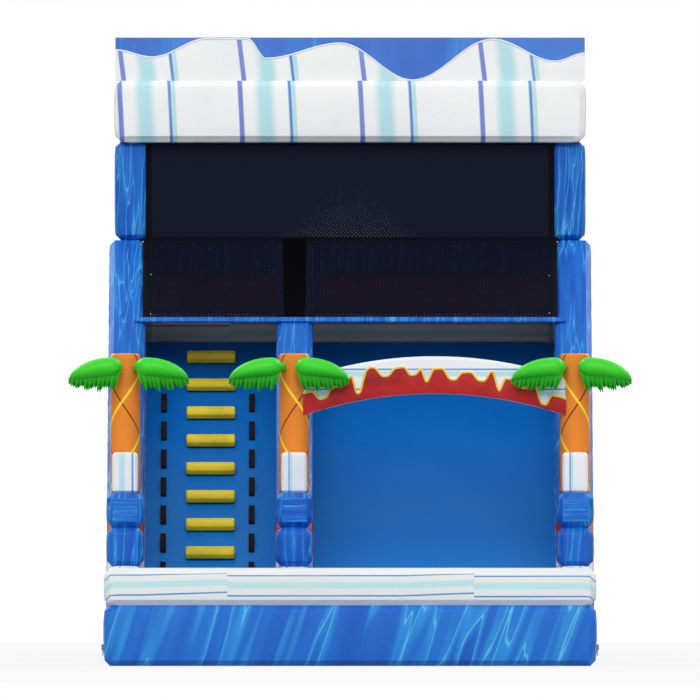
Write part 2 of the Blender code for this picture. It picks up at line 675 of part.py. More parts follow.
def frond_pieces(name, trunk_x, x, hand, foot, material, parent):
    """A puffed leaf, its toothed fringe and the lug that joins it to the trunk."""
    bm = bmesh.new()
    rings = []
    for i in range(FROND_STATIONS):
        reach, centre, rise, width = frond_section(i / (FROND_STATIONS - 1))
        y = TRUNK_Y - FROND_FORWARD - FROND_HALF_WIDTH
        rings.append([
            (x + hand * reach, y + width * math.cos(turn), foot + centre + rise * math.sin(turn))
            for turn in (2 * math.pi * k / FROND_SIDES for k in range(FROND_SIDES))
        ])
    loft(bm, rings)
    leaf = finish_mesh(f"{name}_leaf", bm, material, parent, smooth_angle=60)
    top, teeth = [], []
    for i in range(2 * FRINGE_TEETH + 1):
        share = FRINGE_START + FRINGE_SPAN * i / (2 * FRINGE_TEETH)
        reach, centre, rise, _ = frond_section(share)
        top.append((x + hand * reach, foot + centre - rise * FRINGE_SEAT))
        drop = max(FRINGE_DROP * (1 - share ** FRINGE_FALL_POWER), FRINGE_LEAST_DROP)
        drop += rise * FRINGE_SEAT
        tooth = FRINGE_TOOTH * (i % 2)
        teeth.append((x + hand * reach, foot + centre - drop - tooth))
    y = TRUNK_Y - FROND_FORWARD - FROND_HALF_WIDTH - FRINGE_THICKNESS / 2
    fringe = prism(f"{name}_fringe", top + teeth[::-1], "Y", y, y + FRINGE_THICKNESS,
                   material, parent)
    ends = sorted((trunk_x + hand * TRUNK_RADIUS * LUG_IN_TRUNK,
                   x + hand * (FROND_ROOT + LUG_REACH)))
    lug = box(f"{name}_lug",
              (ends[0], TRUNK_Y - FROND_FORWARD - FROND_HALF_WIDTH, foot + FROND_Z - LUG_SIZE / 2),
              (ends[1], TRUNK_Y - TRUNK_RADIUS / 2, foot + FROND_Z + LUG_SIZE / 2),
              material, parent)
    return leaf, fringe, lug


def arc_points(x0, x1, z_end, rise, steps):
    """Points of a circular arc from x0 to x1 that rises above its ends."""
    half = (x1 - x0) / 2
    radius = (half * half + rise * rise) / (2 * rise)
    spread = math.asin(half / radius)
    points = []
    for i in range(steps + 1):
        turn = spread * (2 * i / steps - 1)
        points.append(((x0 + x1) / 2 + radius * math.sin(turn),
                       z_end + rise - radius * (1 - math.cos(turn))))
    return points


def build_arch(materials, parent):
    """An arch between the centre and right trunks, with a dripping lava band before it."""
    x0, x1 = WALL_CENTRES["centre"], WALL_CENTRES["right"]
    end = FOOT_TOP + ARCH_TOP - ARCH_RISE
    outer = arc_points(x0, x1, end, ARCH_RISE, ARCH_STEPS)
    inner = arc_points(x0, x1, end - ARCH_BAND, ARCH_RISE, ARCH_STEPS)
    front = TRUNK_Y - ARCH_FORWARD
    arch = prism("arch", outer + inner[::-1], "Y", front, front + ARCH_DEPTH,
                 materials["white"], parent)
    crest = []
    for i, (x, z) in enumerate(arc_points(x0, x1, end - ARCH_BAND, ARCH_RISE,
                                          LAVA_DRIPS * LAVA_STEPS)):
        swell = (1 + math.cos(2 * math.pi * i / LAVA_STEPS)) / 2
        crest.append((x, z + LAVA_BAND + (LAVA_CREST - LAVA_BAND) * swell ** LAVA_SWELL))
    lava = prism("lava_trim", crest + inner[::-1], "Y", front - GAP - LAVA_THICKNESS,
                 front - GAP, materials["red"], parent)
    for x, label in ((x0, "centre"), (x1, "right")):
        for piece in (arch, lava):
            post = cylinder(f"{piece.name}_{label}_cut", TRUNK_RADIUS + GAP, "Z",
                            (x, TRUNK_Y), FOOT_TOP, CANOPY_BOTTOM, materials["orange"],
                            TRUNK_SIDES, parent)
            combine(piece, post, "DIFFERENCE")


def scroll_outline(centre, inset):
    """The blower casing's spiral and its outlet box, in (y, z), drawn in by inset."""
    outline = []
    for i in range(SCROLL_STEPS + 1):
        share = i / SCROLL_STEPS
        turn = math.radians(SCROLL_START_DEGREES - SCROLL_TURN_DEGREES * share)
        radius = SCROLL_SMALL + (SCROLL_LARGE - SCROLL_SMALL) * share - inset
        outline.append((centre[0] + radius * math.cos(turn), centre[1] + radius * math.sin(turn)))
    outlet = SNOUT_FRONT + SNOUT_LENGTH - SCROLL_WALL + inset
    outline.append((outlet, centre[1] - SCROLL_LARGE + inset))
    outline.append((outlet, SNOUT_Z + SNOUT_RADIUS + SCROLL_WALL - inset))
    outline.append((centre[0] - (SCROLL_SMALL - inset) * SCROLL_TONGUE,
                    SNOUT_Z + SNOUT_RADIUS + SCROLL_WALL - inset))
    return outline


def build_blower(materials, parent):
    """Scroll casing with a carrying grip, finned motor, bladed impeller and intake grille."""
    low, high = BLOWER_X - SCROLL_WIDTH / 2, BLOWER_X + SCROLL_WIDTH / 2
    axis = (SCROLL_Y, SCROLL_AXIS_Z)
    grey = materials["graphite"]
    housing = prism("blower_housing", scroll_outline(axis, 0), "X", low, high,
                    materials["casing"], parent)
    width, depth, thickness = BASE_PLATE
    plate = box("blower_plate", (BLOWER_X - width / 2, HOUSING_REAR - depth, 0),
                (BLOWER_X + width / 2, HOUSING_REAR, SCROLL_AXIS_Z - SCROLL_LARGE + thickness / 2),
                grey, parent)
    snout = cylinder("blower_snout", SNOUT_RADIUS, "Y", (BLOWER_X, SNOUT_Z), SNOUT_FRONT,
                     SNOUT_FRONT + SNOUT_LENGTH, grey, SLEEVE_SIDES, parent)
    top = SCROLL_AXIS_Z + (SCROLL_SMALL + SCROLL_LARGE) / 2
    grip = box("blower_grip", (BLOWER_X - GRIP_BAR, SCROLL_Y - GRIP_LENGTH / 2 - GRIP_BAR,
                               top - GRIP_ROOT),
               (BLOWER_X + GRIP_BAR, SCROLL_Y + GRIP_LENGTH / 2 + GRIP_BAR,
                top + GRIP_HEIGHT), grey, parent)
    chamfer(grip, GRIP_BAR / 2)
    hold = box("blower_grip_gap", (low, SCROLL_Y - GRIP_LENGTH / 2, top - GRIP_BAR / 2),
               (high, SCROLL_Y + GRIP_LENGTH / 2, top + GRIP_HEIGHT - GRIP_BAR), grey, parent)
    combine(grip, hold, "DIFFERENCE")
    for piece in (plate, snout, grip):
        combine(housing, piece, "UNION")
    cavity = prism("blower_cavity", scroll_outline(axis, SCROLL_WALL), "X",
                   low + SCROLL_WALL, high - SCROLL_WALL, grey, parent)
    bore = cylinder("blower_bore", SNOUT_RADIUS - SCROLL_WALL, "Y", (BLOWER_X, SNOUT_Z),
                    SNOUT_FRONT - SCROLL_WALL, SNOUT_FRONT + SNOUT_LENGTH + SCROLL_WALL, grey,
                    SLEEVE_SIDES, parent)
    intake = cylinder("blower_intake", INTAKE_RADIUS, "X", axis, high - 2 * SCROLL_WALL,
                      high + SCROLL_WALL, grey, 32, parent)
    shaft_hole = cylinder("blower_shaft_hole", hole_radius(SHAFT_RADIUS, HOLE_SIDES), "X",
                          axis, low - SCROLL_WALL, low + 2 * SCROLL_WALL, grey, HOLE_SIDES,
                          parent)
    for piece in (cavity, bore, intake, shaft_hole):
        combine(housing, piece, "DIFFERENCE")
    build_impeller(axis, low, materials, parent)
    build_motor(axis, low, materials, parent)
    build_grille(axis, high + GAP, materials, parent)
    build_sleeve(materials, parent)


def build_impeller(axis, low, materials, parent):
    """Back plate with hub and shaft, front ring, and the leaning blades between them."""
    back = low + SCROLL_WALL * 2
    front = back + IMPELLER_WIDTH
    shaft_end = low - MOTOR_LENGTH / 4
    profile = [
        (shaft_end, 0), (shaft_end, SHAFT_RADIUS), (back, SHAFT_RADIUS),
        (back, IMPELLER_RADIUS), (back + IMPELLER_PLATE, IMPELLER_RADIUS),
        (back + IMPELLER_PLATE, HUB_RADIUS), (back + HUB_LENGTH, HUB_RADIUS),
        (back + HUB_LENGTH, 0),
    ]
    disc = turned("blower_impeller", profile, (0, 0), materials["graphite"], 32, parent)
    ring = turned("impeller_ring", [
        (front - IMPELLER_PLATE, IMPELLER_RADIUS - IMPELLER_RING),
        (front - IMPELLER_PLATE, IMPELLER_RADIUS), (front, IMPELLER_RADIUS),
        (front, IMPELLER_RADIUS - IMPELLER_RING),
    ], (0, 0), materials["graphite"], 32, parent)
    bm = bmesh.new()
    inner = IMPELLER_RADIUS - IMPELLER_RING * BLADE_UNDER_RING
    outer = IMPELLER_RADIUS * BLADE_IN_RIM
    lean = math.radians(BLADE_LEAN) * (outer - inner) / IMPELLER_RADIUS
    for i in range(BLADE_COUNT):
        turn = 2 * math.pi * i / BLADE_COUNT
        corners = []
        for radius, angle, sign in ((inner, turn, -1), (outer, turn + lean, -1),
                                    (outer, turn + lean, 1), (inner, turn, 1)):
            corners.append((
                radius * math.cos(angle) - sign * BLADE_THICKNESS / 2 * math.sin(angle),
                radius * math.sin(angle) + sign * BLADE_THICKNESS / 2 * math.cos(angle),
            ))
        loft(bm, [[(x, u, v) for u, v in corners]
                  for x in (back + IMPELLER_PLATE / 2, front - IMPELLER_PLATE / 2)])
    blades = finish_mesh("impeller_blades", bm, materials["graphite"], parent)
    combine(disc, blades, "UNION")
    combine(disc, ring, "UNION")
    for piece in (disc, ring, blades):
        piece.location = (0, axis[0], axis[1])


def build_motor(axis, low, materials, parent):
    """A finned motor body on the casing's side, bored for the shaft."""
    front, back = low - GAP, low - MOTOR_LENGTH
    bore = hole_radius(SHAFT_RADIUS, MOTOR_SIDES)
    bore_end = low - MOTOR_LENGTH / 4 - END_PLAY
    profile = [(bore_end, 0), (bore_end, bore), (front, bore), (front, MOTOR_RADIUS)]
    pitch = MOTOR_LENGTH * MOTOR_FINNED / MOTOR_FINS
    for i in range(MOTOR_FINS):
        x = front - MOTOR_LENGTH * MOTOR_FACE - i * pitch
        profile += [(x, MOTOR_RADIUS), (x, MOTOR_RADIUS - MOTOR_FIN_DEPTH),
                    (x - pitch / 2, MOTOR_RADIUS - MOTOR_FIN_DEPTH), (x - pitch / 2, MOTOR_RADIUS)]
    profile += [(back + MOTOR_FIN_DEPTH, MOTOR_RADIUS), (back, MOTOR_RADIUS * MOTOR_CAP), (back, 0)]
    turned("blower_motor", profile, axis, materials["steel"], MOTOR_SIDES, parent)


def build_grille(axis, face, materials, parent):
    """A flat guard of rings and spokes over the intake."""
    outer = INTAKE_RADIUS + 2 * GRILLE_BAR
    grille = None
    for i in range(GRILLE_RINGS):
        radius = outer * (1 - i / GRILLE_RINGS)
        ring = turned(f"blower_grille_{i}" if i else "blower_grille", [
            (face, radius - GRILLE_BAR), (face, radius),
            (face + GRILLE_BAR, radius), (face + GRILLE_BAR, radius - GRILLE_BAR),
        ], axis, materials["graphite"], 24, parent)
        if grille is None:
            grille = ring
        else:
            combine(grille, ring, "UNION")
    for i in range(GRILLE_SPOKES // 2):
        spoke = box(f"grille_spoke_{i}",
                    (face + GRILLE_SPOKE_INSET, GRILLE_BAR / 2 - outer, -GRILLE_BAR / 2),
                    (face + GRILLE_BAR - GRILLE_SPOKE_INSET, outer - GRILLE_BAR / 2,
                     GRILLE_BAR / 2),
                    materials["graphite"], parent)
        spoke.location = (0, axis[0], axis[1])
        spoke.rotation_euler.x = 2 * math.pi * i / GRILLE_SPOKES
        combine(grille, spoke, "UNION")


def build_sleeve(materials, parent):
    """The fabric sleeve from the platform's back, drawn in round the blower's snout."""
    start = BODY_LENGTH + GAP
    end = BODY_LENGTH + SLEEVE_LENGTH
    tie = SNOUT_FRONT + SNOUT_IN_SLEEVE / 2
    snug = SNOUT_RADIUS + GAP
    outer = [(start, SLEEVE_RADIUS), (start + SLEEVE_LENGTH / 3, SLEEVE_RADIUS),
             (tie, max(SLEEVE_WAIST, snug + SLEEVE_WALL)), (end, SLEEVE_END_RADIUS)]
    inner = [(end, SLEEVE_END_RADIUS - SLEEVE_WALL), (tie, snug),
             (SNOUT_FRONT, snug + GAP), (start + SLEEVE_LENGTH / 3, SLEEVE_RADIUS - SLEEVE_WALL),
             (start, SLEEVE_RADIUS - SLEEVE_WALL)]
    sleeve = turned("inflation_sleeve", outer + inner, (0, 0), materials["blue"],
                    SLEEVE_SIDES, parent)
    sleeve.rotation_euler.z = math.pi / 2
    sleeve.location = (BLOWER_X, 0, SNOUT_Z)


def main():
    """Builds every piece under one empty that centres the object on its bounding box."""
    clear_scene()
    layout = bpy.data.objects.new("slide_layout", None)
    bpy.context.scene.collection.objects.link(layout)
    layout.location = (0, -HOUSING_REAR / 2, 0)
    materials = {
        "blue": make_material("marbled_blue_vinyl", BLUE, 0.4),
        "deep_blue": make_material("lane_vinyl", DEEP_BLUE, 0.35),
        "white": make_material("striped_white_vinyl", WHITE, 0.4),
        "red": make_material("red_vinyl", RED, 0.4),
        "black": make_material("black_webbing", BLACK, 0.8),
        "yellow": make_material("yellow_vinyl", YELLOW, 0.4),
        "orange": make_material("orange_vinyl", ORANGE, 0.45),
        "green": make_material("green_vinyl", GREEN, 0.4),
        "steel": make_material("zinc_steel", STEEL, 0.35, 1.0),
        "graphite": make_material("graphite_plastic", GRAPHITE, 0.5),
        "casing": make_material("casing_plastic", CASING, 0.45),
    }
    build_pool(materials, layout)
    build_ramps(materials, layout)
    build_walls(materials, layout)
    build_rings(materials, layout)
    build_back_wall(materials, layout)
    build_canopy(materials, layout)
    build_nets(materials, layout)
    build_rungs(materials, layout)
    build_handles(materials, layout)
    build_palms(materials, layout)
    build_arch(materials, layout)
    build_blower(materials, layout)


main()
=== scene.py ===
"""The looks of an inflatable water slide: air cells, nets, palms, arch, climbing gear and blower."""

import json
import logging
import math
from dataclasses import dataclass, field
from enum import Enum
from typing import Sequence

import bmesh
import bpy
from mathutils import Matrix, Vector
from mathutils.bvhtree import BVHTree
from mathutils.kdtree import KDTree

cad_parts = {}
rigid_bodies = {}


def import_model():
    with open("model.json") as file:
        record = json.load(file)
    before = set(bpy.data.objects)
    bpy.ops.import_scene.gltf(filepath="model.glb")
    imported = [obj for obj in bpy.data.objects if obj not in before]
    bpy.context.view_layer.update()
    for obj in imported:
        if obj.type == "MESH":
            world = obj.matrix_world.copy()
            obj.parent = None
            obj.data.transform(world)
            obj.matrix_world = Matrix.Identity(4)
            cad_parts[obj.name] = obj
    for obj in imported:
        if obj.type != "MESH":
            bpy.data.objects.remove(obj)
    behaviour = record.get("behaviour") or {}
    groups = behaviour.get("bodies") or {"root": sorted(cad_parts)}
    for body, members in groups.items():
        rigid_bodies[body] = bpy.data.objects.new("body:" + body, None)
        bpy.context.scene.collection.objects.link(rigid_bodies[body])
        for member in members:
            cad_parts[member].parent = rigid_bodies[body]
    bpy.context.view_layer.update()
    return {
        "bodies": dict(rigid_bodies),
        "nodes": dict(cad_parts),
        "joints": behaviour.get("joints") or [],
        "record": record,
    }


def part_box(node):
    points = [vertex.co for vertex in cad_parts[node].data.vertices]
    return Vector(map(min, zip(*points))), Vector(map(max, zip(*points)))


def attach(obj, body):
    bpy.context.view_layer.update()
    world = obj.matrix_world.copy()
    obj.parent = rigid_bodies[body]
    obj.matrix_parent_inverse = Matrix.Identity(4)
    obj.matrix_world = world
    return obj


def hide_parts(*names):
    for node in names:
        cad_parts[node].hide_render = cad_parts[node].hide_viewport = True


LOG = logging.getLogger("water_slide")
BODY = "slide"
GAP = 0.0003
WELD = 0.0001
SIDES = ("left", "right")
ENDS = ("front", "rear")
ACROSS = Vector((1, 0, 0))

Colour = tuple[float, float, float, float]
Point = tuple[float, float, float]
Stops = Sequence[tuple[float, Colour]]
Socket = bpy.types.NodeSocket
Geometry = bmesh.types.BMesh
Piece = bpy.types.Object


def ink(red: int, green: int, blue: int) -> Colour:
    """Turns a display colour into the linear colour that a shader takes.

    Args:
        red: Red from 0 to 255.
        green: Green from 0 to 255.
        blue: Blue from 0 to 255.

    Returns:
        The linear colour with an alpha of 1.
    """
    parts = []
    for value in (red, green, blue):
        share = value / 255
        parts.append(share / 12.92 if share <= 0.04045 else ((share + 0.055) / 1.055) ** 2.4)
    return (parts[0], parts[1], parts[2], 1.0)


WHITE = ink(236, 238, 240)
CANOPY_WHITE = ink(243, 244, 244)
RIM_WHITE = ink(227, 231, 233)
DUST = ink(206, 216, 224)
SKY = ink(184, 226, 234)
LINE_BLUE = ink(88, 146, 208)
LINE_PURPLE = ink(118, 138, 210)
MARBLE = ink(30, 112, 208)
MARBLE_DEEP = ink(24, 90, 192)
MARBLE_GLOW = ink(48, 150, 222)
MARBLE_THREAD = ink(96, 200, 236)
RED = ink(172, 30, 36)
ORANGE = ink(236, 140, 46)
ORANGE_DEEP = ink(214, 112, 30)
BARK_YELLOW = ink(255, 222, 52)
BARK_BROWN = ink(128, 52, 20)
LEAF = ink(58, 206, 40)
LEAF_PAINTED_SHADE = ink(28, 158, 14)
LAVA = ink(186, 36, 36)
LAVA_DEEP = ink(140, 22, 26)
LAVA_RIM = ink(246, 206, 80)
RUNG_YELLOW = ink(228, 204, 40)
LANE_TOP_PAINTED_SHADE = ink(0, 88, 172)
LANE_FOOT = ink(14, 110, 192)
LANE_CLOUD = ink(40, 128, 205)
NET_BLACK = ink(14, 18, 30)
NET_PALE = ink(26, 32, 50)
WEB_BLACK = ink(15, 14, 14)
WEB_THREAD = ink(46, 42, 40)


class Facing(Enum):
    """The way that a face of an air cell looks."""

    FRONT = "front"
    BACK = "back"
    SIDE = "side"
    TOP = "top"
    UNDER = "under"
    SLOPE = "slope"
    EDGE = "edge"


class Print(Enum):
    """How a marbled print's streaks run."""

    UPRIGHT = "upright"
    LEANING = "leaning"
    SIDEWAYS = "sideways"
    LEVEL = "level"


def facing_of(normal: Vector) -> Facing:
    """Sorts a face by its normal.

    Args:
        normal: The face's normal, pointing out.

    Returns:
        The way that the face looks.
    """
    square, lengthwise = 0.92, 0.35
    if normal.y < -square:
        return Facing.FRONT
    if normal.y > square:
        return Facing.BACK
    if abs(normal.x) > square:
        return Facing.SIDE
    if normal.z > square:
        return Facing.TOP
    if normal.z < -square:
        return Facing.UNDER
    if abs(normal.x) < lengthwise:
        return Facing.SLOPE if normal.z > 0 else Facing.UNDER
    return Facing.EDGE


class Shader:
    """A material's node tree, wired by short calls."""

    def __init__(self, name: str) -> None:
        """Starts a material with one Principled surface.

        Args:
            name: The material's name.
        """
        self.material = bpy.data.materials.new(name)
        self.material.use_nodes = True
        self.tree = self.material.node_tree
        self.tree.nodes.clear()
        self.surface = self.add("ShaderNodeBsdfPrincipled")
        self.output = self.add("ShaderNodeOutputMaterial")
        self.tree.links.new(self.surface.outputs["BSDF"], self.output.inputs["Surface"])
        self.places = self.add("ShaderNodeTexCoord").outputs["Object"]

    def add(self, kind: str) -> bpy.types.Node:
        """Adds a node of a kind and returns it."""
        return self.tree.nodes.new(kind)

    def join(self, source: object, socket: Socket) -> None:
        """Links a socket to another, or sets it to a value.

        Args:
            source: An output socket, or a number or colour.
            socket: The input that takes it.
        """
        if isinstance(source, Socket):
            self.tree.links.new(source, socket)
        else:
            socket.default_value = source

    def paint(self, colour: object) -> None:
        """Gives the surface its colour, or a colour's socket."""
        self.join(colour, self.surface.inputs["Base Color"])

    def roughen(self, roughness: object) -> None:
        """Gives the surface its roughness, or a number's socket."""
        self.join(roughness, self.surface.inputs["Roughness"])

    def sum(self, operation: str, first: object, second: object = 0.0) -> Socket:
        """Works out one arithmetic step.

        Args:
            operation: The name of the Math node's operation.
            first: A socket or a number.
            second: A socket or a number.

        Returns:
            The result's socket.
        """
        node = self.add("ShaderNodeMath")
        node.operation = operation
        self.join(first, node.inputs[0])
        self.join(second, node.inputs[1])
        return node.outputs[0]

    def held(self, value: object, low: float, high: float) -> Socket:
        """Holds a value between a low and a high one."""
        return self.sum("MINIMUM", self.sum("MAXIMUM", value, low), high)

    def mix(self, share: object, first: object, second: object) -> Socket:
        """Mixes two colours.

        Args:
            share: How much of the second colour there is.
            first: A colour or its socket.
            second: A colour or its socket.

        Returns:
            The mixed colour's socket.
        """
        node = self.add("ShaderNodeMix")
        node.data_type = "RGBA"
        self.join(share, node.inputs[0])
        self.join(first, node.inputs[6])
        self.join(second, node.inputs[7])
        return node.outputs[2]

    def ramp(self, value: object, stops: Stops) -> Socket:
        """Reads a colour from a row of stops.

        Args:
            value: The place along the row, from 0 to 1.
            stops: Places with their colours, in order.

        Returns:
            The colour's socket.
        """
        node = self.add("ShaderNodeValToRGB")
        elements = node.color_ramp.elements
        while len(elements) < len(stops):
            elements.new(0.5)
        for element, (place, colour) in zip(elements, stops):
            element.position = place
            element.color = colour
        self.join(value, node.inputs[0])
        return node.outputs[0]

    def spread(self, size: Point, turn: Point = (0, 0, 0)) -> Socket:
        """Turns the object's own places, then measures them in units of a size.

        Args:
            size: The length of one unit along each turned axis, in metres.
            turn: The turn about each axis, in radians.

        Returns:
            The place's socket.
        """
        node = self.add("ShaderNodeMapping")
        node.vector_type = "TEXTURE"
        node.inputs["Rotation"].default_value = turn
        node.inputs["Scale"].default_value = size
        self.tree.links.new(self.places, node.inputs["Vector"])
        return node.outputs[0]

    def noise(self, places: Socket, scale: float = 1.0, detail: float = 2.0, bend: float = 0.0) -> Socket:
        """Reads a cloud of noise.

        Args:
            places: Where it is read.
            scale: How fine it is.
            detail: How many finer layers it has.
            bend: How far it is warped.

        Returns:
            The noise's socket, from 0 to 1.
        """
        node = self.add("ShaderNodeTexNoise")
        node.inputs["Scale"].default_value = scale
        node.inputs["Detail"].default_value = detail
        node.inputs["Distortion"].default_value = bend
        self.tree.links.new(places, node.inputs["Vector"])
        return node.outputs[0]

    def band(self, value: object, centre: float, half: float) -> Socket:
        """Gives 1 at a value's centre, falling to 0 at its sides.

        Args:
            value: The value's socket.
            centre: Where the band is fullest.
            half: Half the band's width.

        Returns:
            The band's socket.
        """
        away = self.sum("ABSOLUTE", self.sum("SUBTRACT", value, centre))
        near = self.sum("SUBTRACT", 1.0, self.sum("DIVIDE", away, half))
        return self.sum("MAXIMUM", near, 0.0)

    def axes(self) -> tuple[Socket, Socket, Socket]:
        """Splits the object's own place into X, Y and Z."""
        node = self.add("ShaderNodeSeparateXYZ")
        self.tree.links.new(self.places, node.inputs[0])
        return node.outputs[0], node.outputs[1], node.outputs[2]

    def bump(self, height: object, depth: float, strength: float = 0.5) -> None:
        """Presses a height into the surface's normal.

        Args:
            height: The height's socket.
            depth: How many metres a height of 1 stands for.
            strength: How much of it is used.
        """
        node = self.add("ShaderNodeBump")
        node.inputs["Strength"].default_value = strength
        node.inputs["Distance"].default_value = depth
        self.join(height, node.inputs["Height"])
        self.join(node.outputs[0], self.surface.inputs["Normal"])


@dataclass(frozen=True)
class Finish:
    """A surface of the slide, and the record's slot that it belongs to."""

    name: str
    slot: str
    roughness: float = 0.45
    gloss: float = 0.22

    def material(self) -> bpy.types.Material:
        """Gives the finish as a node material, made once."""
        name = f"{self.name}_finish"
        known = bpy.data.materials.get(name)
        if known is not None:
            return known
        shader = Shader(name)
        shader.surface.inputs["Specular IOR Level"].default_value = self.gloss
        self.feel(shader)
        self.dress(shader)
        return shader.material

    def dress(self, shader: Shader) -> None:
        """Colours the surface."""
        raise NotImplementedError

    def feel(self, shader: Shader) -> None:
        """Gives coated cloth its worn gloss, soft wrinkles and fine grain.

        Args:
            shader: The material's nodes.
        """
        wear = shader.noise(shader.places, scale=3.1, detail=3)
        shader.roughen(shader.sum("ADD", shader.sum("MULTIPLY", wear, 0.16), self.roughness - 0.08))
        folds = shader.noise(shader.places, scale=7.0, detail=3, bend=0.4)
        grain = shader.noise(shader.places, scale=420.0, detail=1)
        shader.bump(shader.sum("ADD", folds, shader.sum("MULTIPLY", grain, 0.035)), depth=0.009)


@dataclass(frozen=True)
class MarbledVinyl(Finish):
    """Blue coated cloth, printed with cloudy streaks and thin bright threads."""

    run: Print = Print.UPRIGHT
    deep: Colour = MARBLE_DEEP
    plain: Colour = MARBLE
    width: float = 0.12
    contrast: float = 1.0
    thread_half: float = 0.011
    bend: float = 0.35

    def dress(self, shader: Shader) -> None:
        """Prints the clouds, streaks and threads along the print's run.

        Args:
            shader: The material's nodes.
        """
        length = self.width * 12
        size, turn = {
            Print.UPRIGHT: ((self.width, length, length), (0, math.radians(3), 0)),
            Print.LEANING: ((self.width, length, length), (0, math.radians(19), 0)),
            Print.SIDEWAYS: ((length, self.width, length), (math.radians(-19), 0, 0)),
            Print.LEVEL: ((length, self.width * 0.6, self.width * 0.6), (0, 0, 0)),
        }[self.run]
        places = shader.spread(size, turn)
        cloud = shader.noise(places, scale=0.8, detail=2, bend=0.3)
        streak = shader.noise(places, scale=0.9, detail=2, bend=self.bend)
        colour = shader.ramp(cloud, ((0.36, self.deep), (0.60, self.plain)))
        for centre, half, share, tone in (
            (0.53, 0.06, 0.75, MARBLE_GLOW), (0.545, self.thread_half, 0.85, MARBLE_THREAD),
        ):
            line = shader.sum("MULTIPLY", shader.band(streak, centre, half), share * self.contrast)
            colour = shader.mix(line, colour, tone)
        shader.paint(colour)


@dataclass(frozen=True)
class Stripe:
    """One printed stripe, as shares of its pattern's repeat."""

    start: float
    end: float
    colour: Colour
    soft: float = 0.004


@dataclass(frozen=True)
class StripedVinyl(Finish):
    """White coated cloth, printed with repeating lines and soft bands.

    The print is measured by a weighted sum of the axes, folded at the slide's middle where both
    walls carry it. It can climb with the slope, jump at a panel's weld and tilt across a panel.
    """

    across: Point = (1.0, 0.0, 0.0)
    folded: float = 0.0
    repeat: float = 1.065
    origin: float = 0.0
    stripes: tuple[Stripe, ...] = ()
    ground: Colour = WHITE
    slope: Point | None = None
    breaks: tuple[tuple[float, float], ...] = ()
    tilts: tuple[Point, ...] = ()

    def dress(self, shader: Shader) -> None:
        """Prints the stripes and a thin veil of dust.

        Args:
            shader: The material's nodes.
        """
        colour = self.stripe(shader, self.place(shader))
        dust = shader.noise(shader.places, scale=1.3, detail=3)
        veil = shader.sum("MULTIPLY", shader.band(dust, 0.3, 0.25), 0.25)
        shader.paint(shader.mix(veil, colour, DUST))

    def place(self, shader: Shader) -> object:
        """Measures the print's own place.

        Args:
            shader: The material's nodes.

        Returns:
            The distance across the stripes, in metres.
        """
        x, y, z = shader.axes()
        place = -self.origin
        for axis, weight in zip((x, y, z), self.across):
            if weight:
                place = shader.sum("ADD", place, shader.sum("MULTIPLY", axis, weight))
        if self.folded:
            inward = shader.sum("MULTIPLY", shader.sum("ABSOLUTE", x), self.folded)
            place = shader.sum("ADD", place, inward)
        if self.slope:
            start, pitch, rise = self.slope
            climb = shader.sum("MULTIPLY", shader.sum("SUBTRACT", y, start), pitch)
            place = shader.sum("SUBTRACT", place, shader.held(climb, 0.0, rise))
        for where, shift in self.breaks:
            past = shader.sum("MULTIPLY", shader.sum("GREATER_THAN", x, where), shift)
            place = shader.sum("ADD", place, past)
        for start, end, rise in self.tilts:
            along = shader.sum("DIVIDE", shader.sum("SUBTRACT", x, start), end - start)
            tilted = shader.sum("MULTIPLY", shader.held(along, 0.0, 1.0), rise)
            place = shader.sum("SUBTRACT", place, tilted)
        return place

    def stripe(self, shader: Shader, place: object) -> Socket:
        """Repeats the stripes over the print's place.

        Args:
            shader: The material's nodes.
            place: The distance across the stripes.

        Returns:
            The colour's socket.
        """
        stops = [(0.0, self.ground)]
        for stripe in self.stripes:
            start, end, soft = stripe.start, stripe.end, stripe.soft
            stops += [(start - soft, self.ground), (start + soft, stripe.colour),
                      (end - soft, stripe.colour), (end + soft, self.ground)]
        return shader.ramp(shader.sum("FRACT", shader.sum("DIVIDE", place, self.repeat)), stops)


@dataclass(frozen=True)
class LaneVinyl(Finish):
    """Smooth blue sliding cloth, with painted shade that darkens it towards the top of the lane."""

    low: float = 0.9
    high: float = 2.75

    def dress(self, shader: Shader) -> None:
        """Darkens the blue towards the top of the lane as painted shade, and varies it by slow clouds.

        Args:
            shader: The material's nodes.
        """
        _, _, z = shader.axes()
        share = shader.sum("DIVIDE", shader.sum("SUBTRACT", z, self.low), self.high - self.low)
        # Painted shade: the blue is darker towards the top of the lane.
        colour = shader.ramp(share, ((0.0, LANE_FOOT), (1.0, LANE_TOP_PAINTED_SHADE)))
        cloud = shader.noise(shader.places, scale=0.9, detail=2)
        veil = shader.sum("MULTIPLY", shader.band(cloud, 0.55, 0.2), 0.12)
        shader.paint(shader.mix(veil, colour, LANE_CLOUD))


@dataclass(frozen=True)
class PlainVinyl(Finish):
    """Coated cloth of one dye, a little uneven."""

    dye: Colour = RED
    deep: Colour = LAVA_DEEP
    patch: float = 0.5

    def dress(self, shader: Shader) -> None:
        """Clouds the dye with its deeper tone.

        Args:
            shader: The material's nodes.
        """
        cloud = shader.noise(shader.places, scale=2.4, detail=3, bend=0.6)
        share = shader.sum("MULTIPLY", shader.band(cloud, 0.36, 0.16), self.patch)
        shader.paint(shader.mix(share, self.dye, self.deep))


